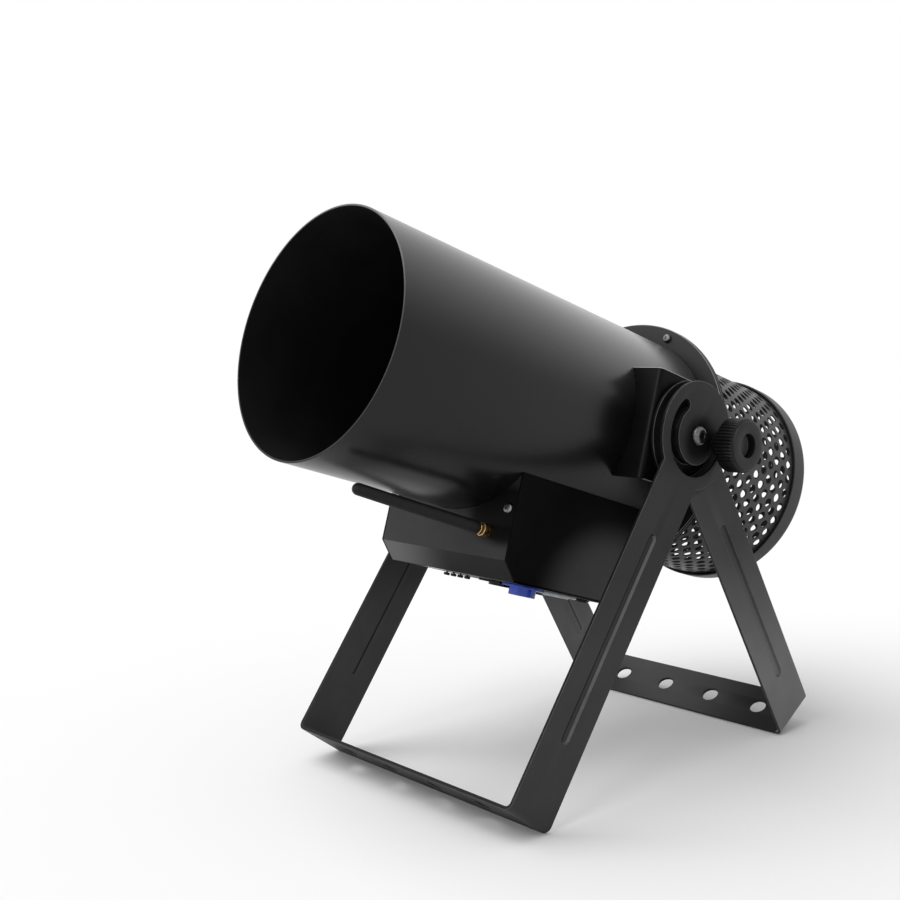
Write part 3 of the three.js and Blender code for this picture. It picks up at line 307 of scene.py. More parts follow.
# Painted light: a lighter copy of the bright steel for the box screws
LIT_SCREW_STEEL = surface("screw_steel_painted_light", (0.2, 0.2, 0.21), (0.34, 0.34, 0.35), 0.28, metallic=1, mottle=220,
                      grain=1500, relief=0.02)
DARK_STEEL = surface("dark_steel", (0.12, 0.12, 0.125), (0.2, 0.2, 0.205), 0.42, metallic=0.85, mottle=90)
MOTOR_GREY = surface("motor_grey_paint", (0.14, 0.14, 0.15), (0.2, 0.2, 0.21), 0.5, mottle=50, relief=0.04)
BLACK_PLASTIC = surface("black_plastic", (0.003, 0.003, 0.003), (0.006, 0.006, 0.006), 0.34, mottle=120,
                        grain=1600, specular=0.2)
WORN_PLASTIC = surface("worn_plastic", (0.014, 0.014, 0.0147), (0.022, 0.022, 0.0225), 0.5, mottle=160,
                       grain=1200, specular=0.18)
# Painted light: a lighter plastic for the floor of a knob's recess
RECESS_PAINTED_LIGHT = surface("recess_plastic_painted_light", (0.045, 0.045, 0.046), (0.06, 0.06, 0.062), 0.5, mottle=160,
                         grain=1200, specular=0.3)
BLUE_PLASTIC = surface("blue_plastic", (0.02, 0.055, 0.42), (0.03, 0.08, 0.55), 0.32, mottle=120, grain=1500,
                       relief=0.015)
PALE_PLASTIC = surface("pale_plastic", (0.42, 0.44, 0.46), (0.52, 0.54, 0.56), 0.42, mottle=120, grain=1500,
                       relief=0.015)
BRASS = surface("plated_brass", (0.45, 0.28, 0.11), (0.75, 0.52, 0.25), 0.3, metallic=1, mottle=300,
                grain=1800, relief=0.015)
BLACK_RUBBER = surface("black_rubber", (0.006, 0.006, 0.006), (0.01, 0.01, 0.01), 0.5, mottle=90, grain=1300,
                       specular=0.18)
BOARD_GREEN = surface("board_green", (0.01, 0.09, 0.03), (0.03, 0.2, 0.07), 0.35, mottle=260, grain=700,
                      relief=0.05)
SMOKED_WINDOW = surface("smoked_window", (0.02, 0.003, 0.004), (0.035, 0.006, 0.007), 0.1, grain=500,
                        relief=0.002, coat=0.6)
BROWN_FIBRE = surface("brown_fibre", (0.07, 0.035, 0.022), (0.12, 0.07, 0.045), 0.75, mottle=300, grain=1400,
                      relief=0.08)
CONTACT_GOLD = surface("contact_metal", (0.7, 0.55, 0.25), (0.85, 0.7, 0.4), 0.25, metallic=1, mottle=300,
                       grain=1500, relief=0.01)

FINISHES = {
    "satin_black": SATIN_BLACK, "powder_black": POWDER_BLACK, "cage_black": CAGE_BLACK,
    "bright_steel": BRIGHT_STEEL, "dark_steel": DARK_STEEL, "motor_grey": MOTOR_GREY,
    "black_plastic": BLACK_PLASTIC, "blue_plastic": BLUE_PLASTIC, "pale_plastic": PALE_PLASTIC,
    "brass": BRASS, "black_rubber": BLACK_RUBBER, "board_green": BOARD_GREEN,
    "smoked_window": SMOKED_WINDOW, "brown_fibre": BROWN_FIBRE,
}
SLOT_OF = {part["node"]: part["material_slot"] for part in frame["record"]["subparts"]}
BODY_OF = {name: body for body, names in frame["record"]["behaviour"]["bodies"].items() for name in names}

for name, cad_object in frame["nodes"].items():
    for slot in cad_object.material_slots:
        slot.material = FINISHES[SLOT_OF[name]]


# Mesh tools
def spun(rings, steps=ROUND, closed=False):
    """A body turned about Y through rings of (radius, y): a radius may be a function of the angle."""
    bm = bmesh.new()
    loops = []
    for radius, y in rings:
        if not callable(radius) and radius == 0:
            loops.append([bm.verts.new((0, y, 0))])
            continue
        loop = []
        for step in range(steps):
            angle = 2 * math.pi * step / steps
            reach = radius(angle) if callable(radius) else radius
            loop.append(bm.verts.new((reach * math.sin(angle), y, reach * math.cos(angle))))
        loops.append(loop)
    pairs = list(zip(loops, loops[1:]))
    if closed:
        pairs.append((loops[-1], loops[0]))
    for one, other in pairs:
        for step in range(steps):
            after = (step + 1) % steps
            corners = [one[step % len(one)], one[after % len(one)],
                       other[after % len(other)], other[step % len(other)]]
            bm.faces.new(list(dict.fromkeys(corners)))
    return bm


def eased(points, radius, closed=False):
    """The corners of a path replaced by small arcs."""
    count = len(points)
    path = []
    for index, point in enumerate(points):
        if not closed and index in (0, count - 1):
            path.append(point)
            continue
        corner = Vector(point)
        before = Vector(points[index - 1]) - corner
        after = Vector(points[(index + 1) % count]) - corner
        reach = min(radius, before.length / 2.2, after.length / 2.2)
        start = corner + before.normalized() * reach
        end = corner + after.normalized() * reach
        for step in range(EASE_STEPS + 1):
            share = step / EASE_STEPS
            path.append(tuple((1 - share) ** 2 * start + 2 * share * (1 - share) * corner + share ** 2 * end))
    return path


def washer(inner, outer, y0, y1, ease=EDGE, steps=ROUND):
    return spun(eased([(inner, y0), (outer, y0), (outer, y1), (inner, y1)], ease, closed=True), steps, closed=True)


def hexagonal(corner):
    """The radius of a hexagon as a function of the angle."""
    def reach(angle):
        return corner * math.cos(math.pi / 6) / math.cos((angle % (math.pi / 3)) - math.pi / 6)
    return reach


def crossed(arm, width):
    """The radius of a cross recess as a function of the angle."""
    def reach(angle):
        turn = abs((angle + math.pi / 4) % (math.pi / 2) - math.pi / 4)
        return min(arm, width / 2 / max(math.sin(turn), width / 2 / arm))
    return reach


def ribbed(radius, depth, ribs):
    """A round outline with ribs: broad crests and narrow grooves."""
    def reach(angle):
        return radius - depth * (0.5 - 0.5 * math.cos(ribs * angle)) ** 2
    return reach


def keyed(radius):
    """A round hole with three narrow keyways."""
    def reach(angle):
        return radius + (1.2 * MM if abs(math.sin(angle * 1.5)) < 0.12 else 0)
    return reach


def in_scene(name, data):
    """A new object in the scene."""
    made = bpy.data.objects.new(name, data)
    bpy.context.scene.collection.objects.link(made)
    return made


def piece(name, bm, material, matrix, *nodes, smooth=True):
    """Turns a bmesh into an object that stands for CAD nodes and rides on their body."""
    body = BODY_OF[nodes[0]]
    bm.transform(matrix)
    bmesh.ops.remove_doubles(bm, verts=bm.verts, dist=0.001 * MM)
    bmesh.ops.recalc_face_normals(bm, faces=bm.faces)
    if smooth:
        for face in bm.faces:
            face.smooth = True
    for edge in bm.edges:
        edge.smooth = len(edge.link_faces) != 2 or edge.calc_face_angle(0) < SHARP
    mesh = bpy.data.meshes.new(name)
    bm.to_mesh(mesh)
    bm.free()
    for each in material if isinstance(material, tuple) else (material,):
        mesh.materials.append(each)
    made = in_scene(name, mesh)
    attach(made, body)
    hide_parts(*nodes)
    return made


def flat_sheet(loops, thickness, ease=SHEET_EDGE):
    """A sheet in the XY plane, centred on Z = 0, from an outline and its holes, with eased edges."""
    curve = bpy.data.curves.new("sheet_outline", "CURVE")
    curve.dimensions = "2D"
    curve.fill_mode = "BOTH"
    curve.extrude = thickness / 2 - ease
    curve.bevel_depth = ease
    curve.bevel_resolution = 3
    curve.offset = -ease
    for loop in loops:
        spline = curve.splines.new("POLY")
        spline.points.add(len(loop) - 1)
        spline.use_cyclic_u = True
        for point, (x, y) in zip(spline.points, loop):
            point.co = (x, y, 0, 1)
    holder = in_scene("sheet_outline", curve)
    bpy.context.view_layer.update()
    mesh = bpy.data.meshes.new_from_object(holder.evaluated_get(bpy.context.evaluated_depsgraph_get()))
    bm = bmesh.new()
    bm.from_mesh(mesh)
    bpy.data.objects.remove(holder)
    bpy.data.curves.remove(curve)
    bpy.data.meshes.remove(mesh)
    bmesh.ops.remove_doubles(bm, verts=bm.verts, dist=0.005 * MM)
    return bm


def circle(radius, x=0, y=0, steps=32):
    return [(x + radius * math.cos(2 * math.pi * i / steps), y + radius * math.sin(2 * math.pi * i / steps))
            for i in range(steps)]


def arc(radius, start, end, x=0, y=0, steps=32):
    return [(x + radius * math.cos(start + (end - start) * i / steps),
             y + radius * math.sin(start + (end - start) * i / steps)) for i in range(steps + 1)]


def softened(name, material=None, width=EDGE, edge=None, others=(), sharp=None):
    """A copy of a CAD node with small rounded edges, its flat faces shaded flat.

    Others are pairs of a material and a test that picks the faces, by normal and index, which get it.
    Sharp is a test that picks the edges, by their middle, which stay as they are.
    """
    bm = bmesh.new()
    bm.from_mesh(frame["nodes"][name].data)
    bmesh.ops.remove_doubles(bm, verts=bm.verts, dist=0.005 * MM)
    bmesh.ops.dissolve_limit(bm, angle_limit=math.radians(1), verts=bm.verts, edges=bm.edges)
    for face in bm.faces:
        face.smooth = any(0.01 < edge.calc_face_angle(0) < SHARP for edge in face.edges if len(edge.link_faces) == 2)
    edges = [each for each in bm.edges if len(each.link_faces) == 2 and each.calc_face_angle(0) > SHARP]
    if sharp:
        edges = [each for each in edges if not sharp(TO_MACHINE @ ((each.verts[0].co + each.verts[1].co) / 2))]
    made = bmesh.ops.bevel(bm, geom=edges, offset=width, segments=3, profile=0.5, affect="EDGES", clamp_overlap=True)
    for face in made["faces"]:
        face.smooth = True
        face.material_index = 1
    bm.normal_update()
    for index, other in enumerate(others):
        for face in bm.faces:
            if other[1](TO_MACHINE.to_3x3() @ face.normal, face.material_index):
                face.material_index = index + 2
    finish = material or FINISHES[SLOT_OF[name]]
    finishes = (finish, edge or finish, *[other[0] for other in others])
    return piece(name + "_soft", bm, finishes, Matrix.Identity(4), name, smooth=False)


# Barrel, flange, fan plate and guard
def barrel():
    low, high = in_machine("barrel_tube")
    inner = BARREL_RADIUS - BARREL_WALL
    profile = eased([(inner, low.y), (BARREL_RADIUS, low.y), (BARREL_RADIUS, high.y), (inner, high.y)],
                    2 * EDGE, closed=True)
    bm = spun(profile, SMOOTH_ROUND, closed=True)
    tube = piece("barrel", bm, (SATIN_BLACK, INNER_BLACK_AND_SHADE), MACHINE, "barrel_tube")
    darken(tube, MACHINE, BARREL_RADIUS - 0.9 * BARREL_WALL, low.y - 1, high.y + 1)
    for name, inset in (("barrel_flange", FLANGE_INSET), ("fan_plate", FAN_PLATE_INSET)):
        low, high = in_machine(name)
        bm = washer(inner - inset, FLANGE_RADIUS, low.y, high.y, 2.2 * EDGE, SMOOTH_ROUND)
        # Painted highlight round each plate's front corner; the outer rim takes the dark rim paint
        for face in bm.faces:
            centre = face.calc_center_median()
            radius = math.hypot(centre.x, centre.z)
            if radius > FLANGE_RADIUS - 0.2 * MM:
                face.material_index = 2
            elif radius > FLANGE_RADIUS - 2 * EDGE and centre.y < (low.y + high.y) / 2:
                face.material_index = 1
        piece(name + "_ring", bm, (PLATE_BLACK, PLATE_HIGHLIGHT, RIM_BLACK), MACHINE, name)


def screws():
    """Pan heads with a cross recess, each with a turn of its own."""
    head, height, recess = 4.4 * MM, 3 * MM, 1.6 * MM
    cross = crossed(2.2 * MM, 0.9 * MM)
    rings = [(0, recess - height), (cross, recess - height), (cross, -height), (2.6 * MM, -height),
             (3.6 * MM, -0.88 * height), (4.15 * MM, -0.62 * height), (head, -0.3 * height), (head, 0),
             (2.4 * MM, 0), (2.4 * MM, 4 * MM), (0, 4 * MM)]
    for name in [each for each in SLOT_OF if "_screw" in each]:
        low, high = in_machine(name)
        place = Matrix.Translation(((low.x + high.x) / 2, low.y + height, (low.z + high.z) / 2))
        turn = Matrix.Rotation(0.7 + len(name) * low.x * 40, 4, "Y")
        # The box screws get the lighter steel, which is painted light
        finish = LIT_SCREW_STEEL if "box" in name else FINISHES[SLOT_OF[name]]
        piece(name + "_head", spun(rings, 48), finish, MACHINE @ place @ turn, name)


def guard():
    """Welded wire rings on radial wires."""
    low, high = in_machine("outlet_guard")
    middle = (low.y + high.y) / 2
    wire = (high.y - low.y) / 2
    rim = high.x
    bm = bmesh.new()
    for radius in [rim - wire - i * (rim - 22 * MM) / (GUARD_RINGS - 1) for i in range(GUARD_RINGS)]:
        profile = [(radius + wire * 0.7 * math.cos(a), middle + wire * 0.7 * math.sin(a))
                   for a in [2 * math.pi * i / 8 for i in range(8)]]
        append(bm, spun(profile, ROUND, closed=True))
    append(bm, spun(eased([(0, low.y), (GUARD_HUB, low.y), (GUARD_HUB, high.y), (0, high.y)], EDGE), ROUND))
    for i in range(6):
        spoke = spun([(0, 10 * MM), (wire * 0.7, 10 * MM), (wire * 0.7, rim - wire), (0, rim - wire)], 10)
        spoke.transform(Matrix.Translation((0, middle, 0)) @ Matrix.Rotation(i * math.pi / 3, 4, "Y")
                        @ Matrix.Rotation(math.pi / 2, 4, "X"))
        append(bm, spoke)
    piece("guard_wires", bm, DARK_STEEL, MACHINE, "outlet_guard")


def append(bm, other, matrix=Matrix.Identity(4)):
    """Adds another bmesh's faces to the first."""
    other.transform(matrix)
    mesh = bpy.data.meshes.new("joining")
    other.to_mesh(mesh)
    other.free()
    bm.from_mesh(mesh)
    bpy.data.meshes.remove(mesh)


# Cage
def cage():
    low, high = in_machine("cage_shell")
    front, rear = low.y, high.y
    first = front + 3 * MM
    last = in_machine("cage_end_ring")[0].y - 1 * MM
    height = (last - first) / CAGE_ROWS
    width = 2 * math.pi / CAGE_HOLES_AROUND
    bm = bmesh.new()
    for row in range(CAGE_ROWS):
        for column in range(CAGE_HOLES_AROUND):
            angle = (column + (row % 2) / 2) * width
            hole_cell(bm, angle, first + (row + 0.5) * height, width, height)
    plain_bands(bm, width, [(front, first, 0), (last, rear, CAGE_ROWS)])
    bmesh.ops.remove_doubles(bm, verts=bm.verts, dist=0.02 * MM)
    bmesh.ops.recalc_face_normals(bm, faces=bm.faces)
    bmesh.ops.solidify(bm, geom=bm.faces[:], thickness=CAGE_WALL)
    # Solidify leaves the rims in another order each time, so all faces are sorted along a lopsided line
    bm.faces.sort(key=lambda face: face.calc_center_median().dot((1, 1.7, 2.9)))
    piece("perforated_cage", bm, CAGE_BLACK, MACHINE, "cage_shell")
    outer = FLANGE_RADIUS - CAGE_FLANGE_EDGE
    flange = washer(CAGE_RADIUS + GAP / 3, outer, front, front + CAGE_WALL, EDGE, SMOOTH_ROUND)
    piece("cage_flange_ring", flange, CAGE_BLACK, MACHINE, "cage_flange")


def on_cage(bm, angle, y):
    radius = CAGE_RADIUS - CAGE_WALL
    return bm.verts.new((radius * math.sin(angle), y, radius * math.cos(angle)))


def hole_cell(bm, angle, y, width, height):
    """One cell of the perforated sheet: a rectangle with a round hole."""
    span = range(-2, 2)
    sides = [(a, -2) for a in span] + [(2, a) for a in span] + [(-a, 2) for a in span] + [(-2, -a) for a in span]
    outer = [on_cage(bm, angle + a * width / 4, y + b * height / 4) for a, b in sides]
    turn = CAGE_HOLE_RADIUS / CAGE_RADIUS
    inner = []
    for index in range(len(sides)):
        bearing = 2 * math.pi * index / len(sides) - 3 * math.pi / 4
        inner.append(on_cage(bm, angle + turn * math.cos(bearing), y + CAGE_HOLE_RADIUS * math.sin(bearing)))
    for index in range(len(sides)):
        after = (index + 1) % len(sides)
        bm.faces.new((outer[index], outer[after], inner[after], inner[index]))


def plain_bands(bm, width, bands):
    """The unperforated bands at the ends, with the same corners as the cells beside them."""
    for start, end, row in bands:
        shift = (max(row - 1, 0) % 2) / 2
        for column in range(CAGE_HOLES_AROUND):
            for fourth in range(-2, 2):
                angle = (column + shift + fourth / 4) * width
                after = angle + width / 4
                bm.faces.new((on_cage(bm, angle, start), on_cage(bm, after, start),
                              on_cage(bm, after, end), on_cage(bm, angle, end)))


def cage_end():
    low, high = in_machine("cage_end_ring")
    outer = CAGE_RADIUS + GAP + CAGE_WALL
    lip = outer - CAP_LIP
    inner = outer - CAGE_WALL
    crown = (outer - CAP_CROWN_RADIUS, high.y - CAP_CROWN_RADIUS, 10)
    outside = arc(CAP_CROWN_RADIUS, 0, math.pi / 2, *crown)
    inside = arc(CAP_CROWN_RADIUS - CAGE_WALL, 0, math.pi / 2, *crown)[::-1]
    section = [(outer, low.y), *outside, (lip, high.y), (lip, high.y - CAGE_WALL), *inside, (inner, low.y)]
    piece("cage_rim", spun(section, SMOOTH_ROUND, closed=True), CAGE_RIM_BLACK, MACHINE, "cage_end_ring")
    low, high = in_machine("cage_end_grille")
    radius = high.x
    loops = [circle(radius, steps=128)]
    rise = CAP_HOLE_PITCH * math.sqrt(3) / 2
    rows = int(radius / rise) + 1
    for row in range(-rows, rows + 1):
        for column in range(-rows, rows + 1):
            x = (column + (row % 2) / 2) * CAP_HOLE_PITCH
            z = row * rise
            if math.hypot(x, z) < lip - CAGE_HOLE_RADIUS:
                loops.append(circle(CAGE_HOLE_RADIUS, x, z, 14))
    sheet = flat_sheet(loops, CAGE_WALL, 0.1 * MM)
    place = MACHINE @ Matrix.Translation((0, (low.y + high.y) / 2, 0)) @ Matrix.Rotation(math.pi / 2, 4, "X")
    piece("cage_end_sheet", sheet, CAGE_BLACK, place, "cage_end_grille")


# Fan and motor
def fan():
    low, high = in_machine("impeller")
    tip, hub = high.z, 24 * MM
    start, end = low.y + 6 * MM, high.y - 6 * MM
    profile = eased([(SHAFT_BORE, start), (hub, start), (hub, end), (SHAFT_BORE, end)], 2 * MM, closed=True)
    bm = spun(profile, ROUND, closed=True)
    for index in range(BLADES):
        turn = Matrix.Rotation(index * 2 * math.pi / BLADES, 4, "Y")
        append(bm, blade(hub - 2 * MM, tip, low.y, high.y), turn)
    piece("fan_wheel", bm, DARK_STEEL, MACHINE, "impeller")
    low, high = in_machine("impeller_nut")
    corner = 17 * MM / 2 / math.cos(math.pi / 6)
    rings = [(SHAFT_BORE, low.y), (corner * 0.9, low.y), (hexagonal(corner), low.y + 1 * MM),
             (hexagonal(corner), high.y), (SHAFT_BORE, high.y)]
    piece("fan_nut", spun(rings, 96, closed=True), BRIGHT_STEEL, MACHINE, "impeller_nut")


def blade(root, tip, y0, y1):
    """One twisted, slightly dished blade along +Z."""
    bm = bmesh.new()
    grid = []
    chord, rows, columns = 34 * MM, 10, 8
    middle = (y0 + y1) / 2
    for row in range(rows + 1):
        reach = root + (tip - root) * row / rows
        pitch = math.radians(42 - 14 * row / rows)
        half = chord / 2 * (0.8 + 0.2 * row / rows)
        line = []
        for column in range(columns + 1):
            along = half * (2 * column / columns - 1)
            dish = 2.4 * MM * (1 - (2 * column / columns - 1) ** 2)
            x = -along * math.sin(pitch) + dish * math.cos(pitch)
            y = along * math.cos(pitch) + dish * math.sin(pitch)
            line.append(bm.verts.new((x, middle + y, math.sqrt(max(reach ** 2 - x ** 2, 0)))))
        grid.append(line)
    for one, other in zip(grid, grid[1:]):
        for column in range(columns):
            bm.faces.new((one[column], one[column + 1], other[column + 1], other[column]))
    bmesh.ops.solidify(bm, geom=bm.faces[:], thickness=1.6 * MM)
    return bm


def motor():
    low, high = in_machine("fan_motor")
    radius = high.x
    front, rear = low.y + 4 * MM, high.y - 8 * MM
    rings = [(0, low.y), (14 * MM, low.y), (14 * MM, front), (radius - 2 * MM, front), (radius, front + 2 * MM)]
    step = (rear - front - 20 * MM) / MOTOR_FINS
    groove_radius = radius - 2.4 * MM
    for index in range(MOTOR_FINS):
        y = front + 10 * MM + index * step
        rings += [(radius, y), (groove_radius, y + 0.3 * step), (groove_radius, y + 0.6 * step),
                  (radius, y + 0.9 * step)]
    rings += [(radius, rear - 2 * MM), (radius - 2 * MM, rear), (20 * MM, rear), (19 * MM, high.y), (0, high.y)]
    piece("motor_case", spun(rings, 96), MOTOR_GREY, MACHINE, "fan_motor")
    softened("motor_bracket")


# Pivots and clamps
def side_hardware(side, label):
    place = across(side)
    clamp = across(side, in_machine(f"{label}_knob_stud")[0].y + STUD_RADIUS)
    ring_radius = in_machine(f"{label}_yoke_spacer")[1].z
    for name, finish in (("friction_washer", BROWN_FIBRE), ("yoke_spacer", BLACK_PLASTIC)):
        near, far = side_reach(f"{label}_{name}", side)
        piece(f"{label}_{name}_ring", washer(PIVOT_HOLE_RADIUS, ring_radius, near, far), finish,
              place, f"{label}_{name}")
    near, far = side_reach(f"{label}_knob_washer", side)
    piece(f"{label}_washer_ring", washer(PIVOT_HOLE_RADIUS, WASHER_RADIUS, near, far), BRIGHT_STEEL,
          clamp, f"{label}_knob_washer")
    bolt(label, place, *side_reach(f"{label}_pivot_bolt", side))
    knob(label, clamp, *side_reach(f"{label}_knob", side))
    for nut in ("pivot_nut", "clamp_nut"):
        softened(f"{label}_{nut}")
    # The brackets: painted shade on their faces and under the front flank's lower edge, painted highlights on the
    # other rounded edges and on one facet of the fold
    softened(f"{label}_bracket", SHADED_BLACK, 1.1 * MM, edge=BRACKET_EDGE_HIGHLIGHT, sharp=beside_barrel,
             others=((SHADED_BLACK, under_front), (BRACKET_FOLD_HIGHLIGHT, folded)))


def under_front(normal, index):
    """The rounded edge under a bracket's front flank."""
    return index == 1 and normal.y < -0.1 and normal.z < -0.1


def folded(normal, index):
    """A bracket's slanted front flank."""
    return index == 0 and 0.4 < abs(normal.x) < 0.7 and -0.9 < normal.y < -0.7


def beside_barrel(middle):
    """The edges that are welded to the barrel."""
    return math.hypot(middle.x, middle.z) < BARREL_RADIUS + 3 * MM


def side_reach(name, side):
    """How far a CAD node reaches out of the machine's side, nearest and farthest."""
    low, high = in_machine(name)
    return (low.x, high.x) if side > 0 else (-high.x, -low.x)


def bolt(label, place, tip, top):
    """A button head with a hexagon socket."""
    head, height, socket, depth = 8.75 * MM, 5.5 * MM, 3.4 * MM, 3 * MM
    under = top - height
    mouth, skirt = socket * 1.25, 0.9 * MM
    dome = [(mouth + (head - mouth) * math.sin(a), under + skirt + (height - skirt) * math.cos(a))
            for a in [math.pi / 2 * (1 - i / 8) for i in range(9)]]
    rings = [(0, tip), (4.6 * MM, tip), (5 * MM, tip + 0.5 * MM), (5 * MM, under), (head - 0.3 * MM, under),
             (head, under + 0.3 * MM), *dome, (hexagonal(socket * 1.05), top - 0.1 * MM),
             (hexagonal(socket), top - 0.4 * MM), (hexagonal(socket), top - depth), (0, top - depth - 0.8 * MM)]
    made = piece(f"{label}_bolt_head", spun(rings, 96), (BRIGHT_STEEL, INNER_BLACK_AND_SHADE), place,
                 f"{label}_pivot_bolt")
    # Painted shade: the faces inside the hexagon socket get the black
    darken(made, place, socket * 1.02, top - depth - 1 * MM, top - 0.5 * MM)


def knob(label, place, near, far):
    """A ribbed grip on a hub, with a flat face and a deep round recess."""
    hub, face, recess, well = 12.5 * MM, 22 * MM, 11 * MM, far - 8 * MM
    back = near + 10.4 * MM
    front = far - 1.7 * MM
    full = ribbed(GRIP_RADIUS, 1.3 * MM, GRIP_RIBS)
    back_edge = ribbed(GRIP_RADIUS - 1.4 * MM, 0.3 * MM, GRIP_RIBS)
    front_edge = ribbed(GRIP_RADIUS - 1 * MM, 0.5 * MM, GRIP_RIBS)
    shoulder = GRIP_RADIUS - 2.1 * MM
    rings = [(SHAFT_BORE, near), (hub - 0.6 * MM, near), (hub, near + 0.6 * MM), (hub, back - 1 * MM),
             (hub + 1 * MM, back), (GRIP_RADIUS - 3.6 * MM, back), (back_edge, back + 0.5 * MM),
             (full, back + 2 * MM), (full, front - 1.6 * MM), (front_edge, front - 0.3 * MM), (shoulder, front)]
    piece(f"{label}_grip_ribs", spun(rings, 8 * GRIP_RIBS), BLACK_PLASTIC, place, f"{label}_knob")
    rings = [(shoulder, front), (face + 0.2 * MM, front), (face, front + 0.2 * MM),
             (face, far - 0.7 * MM), (face - 0.2 * MM, far - 0.2 * MM), (face - 0.7 * MM, far),
             (recess + 0.6 * MM, far), (recess + 0.1 * MM, far - 0.2 * MM), (recess, far - 0.7 * MM),
             (recess - 0.3 * MM, well + 0.6 * MM), (recess - 0.8 * MM, well), (0, well + 0.2 * MM)]
    made = piece(f"{label}_grip_face", spun(rings, SMOOTH_ROUND), (WORN_PLASTIC, INNER_BLACK_AND_SHADE, RECESS_PAINTED_LIGHT),
                 place, f"{label}_knob")
    # Painted shade on the recess wall, and painted light on the recess floor, lighter than the face to make up for
    # the shade there
    darken(made, place, recess + 0.2 * MM, well + 0.5 * MM, far - 0.5 * MM)
    darken(made, place, recess + 0.2 * MM, well - 1 * MM, well + 0.5 * MM, 2)


def darken(made, place, radius, low, high, index=1):
    """Gives another of its materials to the faces of a round piece inside a radius and between two heights."""
    back = place.inverted()
    for face in made.data.polygons:
        centre = back @ face.center
        if math.hypot(centre.x, centre.z) < radius and low < centre.y < high:
            face.material_index = index


# Yokes, whose materials stand in this order
FACE, WEAR_AND_HIGHLIGHT, RIM_AND_SHADE, STRIP, LIGHT = range(5)


def yoke(name, finish, strip_finish, rim, painted_groove_light):
    """A flat bar with two round slotted heads, bent to a U."""
    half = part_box(name)[1][0]
    thickness = YOKE_SHEET
    foot = foot_direction(name)
    reach = foot.length
    bend = YOKE_BEND - thickness / 2
    strip = half - thickness / 2 - bend
    curl = math.pi / 2 * bend
    arm = reach - thickness / 2 - bend
    length = strip + curl + arm
    foot_gap = GROOVE_FOOT_GAP[name]
    loops = [bar_outline(length)] + [circle(STRIP_HOLE_RADIUS, x) for x in STRIP_HOLE_PLACES]
    for side in (-1, 1):
        loops.append(circle(PIVOT_HOLE_RADIUS, side * length))
        loops.append(slot_outline(side, length))
        loops.append(groove_outline(side, length, reach - foot_gap, GROOVE_WIDTH / 2 + 0.2 * MM))
    bm = flat_sheet(loops, thickness)
    for face in bm.faces:
        slope = abs(face.normal.z)
        centre = face.calc_center_median()
        beside = painted_groove_light and abs(centre.y) < GROOVE_WIDTH and GROOVE_START < length - abs(centre.x) < arm - foot_gap
        if slope < 0.25:
            face.material_index = RIM_AND_SHADE
        # The rounded edges of the outer face get edge wear with a painted highlight
        elif slope < 0.97 and centre.z > 0:
            face.material_index = WEAR_AND_HIGHLIGHT
        # Beside the groove the rounded rims get a painted highlight on one side and painted shade on the other
        if beside and slope < 0.97 and centre.z > -0.5 * thickness + SHEET_EDGE:
            face.material_index = LIGHT if centre.y < 0 else RIM_AND_SHADE
    for side in (-1, 1):
        append(bm, groove(side, length, reach - foot_gap, thickness, painted_groove_light))
    for side in (-1, 1):
        for step in range(BEND_STEPS + 1):
            cut = side * (strip + curl * step / BEND_STEPS)
            bmesh.ops.bisect_plane(bm, geom=bm.verts[:] + bm.edges[:] + bm.faces[:], dist=0.001 * MM,
                                   plane_co=(cut, 0, 0), plane_no=(1, 0, 0))
    # The foot strips take the strip paint, which is painted shade: the whole strip on the front yoke, its upper face
    # on the rear one
    for face in bm.faces:
        centre = face.calc_center_median()
        if face.material_index == FACE and abs(centre.x) < strip and (painted_groove_light or centre.z < 0):
            face.material_index = STRIP
    for vertex in bm.verts:
        vertex.co = bent(vertex.co, strip, bend, curl, reach - thickness / 2)
    lean = math.atan2(foot.y, -foot.z)
    finishes = (finish, EDGE_WEAR_AND_HIGHLIGHT, rim, strip_finish, GROOVE_HIGHLIGHT)
    piece(name + "_bar", bm, finishes, Matrix.Translation(PIVOT) @ Matrix.Rotation(lean, 4, "X"), name)


def foot_direction(name):
    """From the pivot square to the outer face of the yoke's strip."""
    mount = {"front_yoke": "front_foot_face", "rear_yoke": "rear_foot_face"}[name]
    point = next(Vector(each["pos_m"]) for each in frame["record"]["mounts"] if each["name"] == mount)
    return point - PIVOT


def bar_outline(length):
    half = YOKE_WIDTH / 2
    start = math.asin(half / YOKE_HEAD_RADIUS)
    right = arc(YOKE_HEAD_RADIUS, start - math.pi, math.pi - start, length, 0, 72)
    left = arc(YOKE_HEAD_RADIUS, start, 2 * math.pi - start, -length, 0, 72)
    return right + left


def slot_outline(side, length):
    towards = math.pi if side > 0 else 0
    start, end = towards - SLOT_HALF_ANGLE, towards + SLOT_HALF_ANGLE
    centre = side * length
    cap = SLOT_WIDTH / 2
    outer = arc(SLOT_RADIUS + cap, start, end, centre, 0, 48)
    inner = arc(SLOT_RADIUS - cap, end, start, centre, 0, 48)
    near, far = ((centre + SLOT_RADIUS * math.cos(a), SLOT_RADIUS * math.sin(a)) for a in (start, end))
    return (outer + arc(cap, end, end + math.pi, *far, 12)[1:-1] + inner
            + arc(cap, start + math.pi, start + 2 * math.pi, *near, 12)[1:-1])


def groove_outline(side, length, end_reach, half):
    start = side * (length - GROOVE_START - GROOVE_WIDTH / 2)
    end = side * (length - end_reach + GROOVE_WIDTH / 2)
    low, high = min(start, end), max(start, end)
    return arc(half, -math.pi / 2, math.pi / 2, high, 0, 12) + arc(half, math.pi / 2, 3 * math.pi / 2, low, 0, 12)


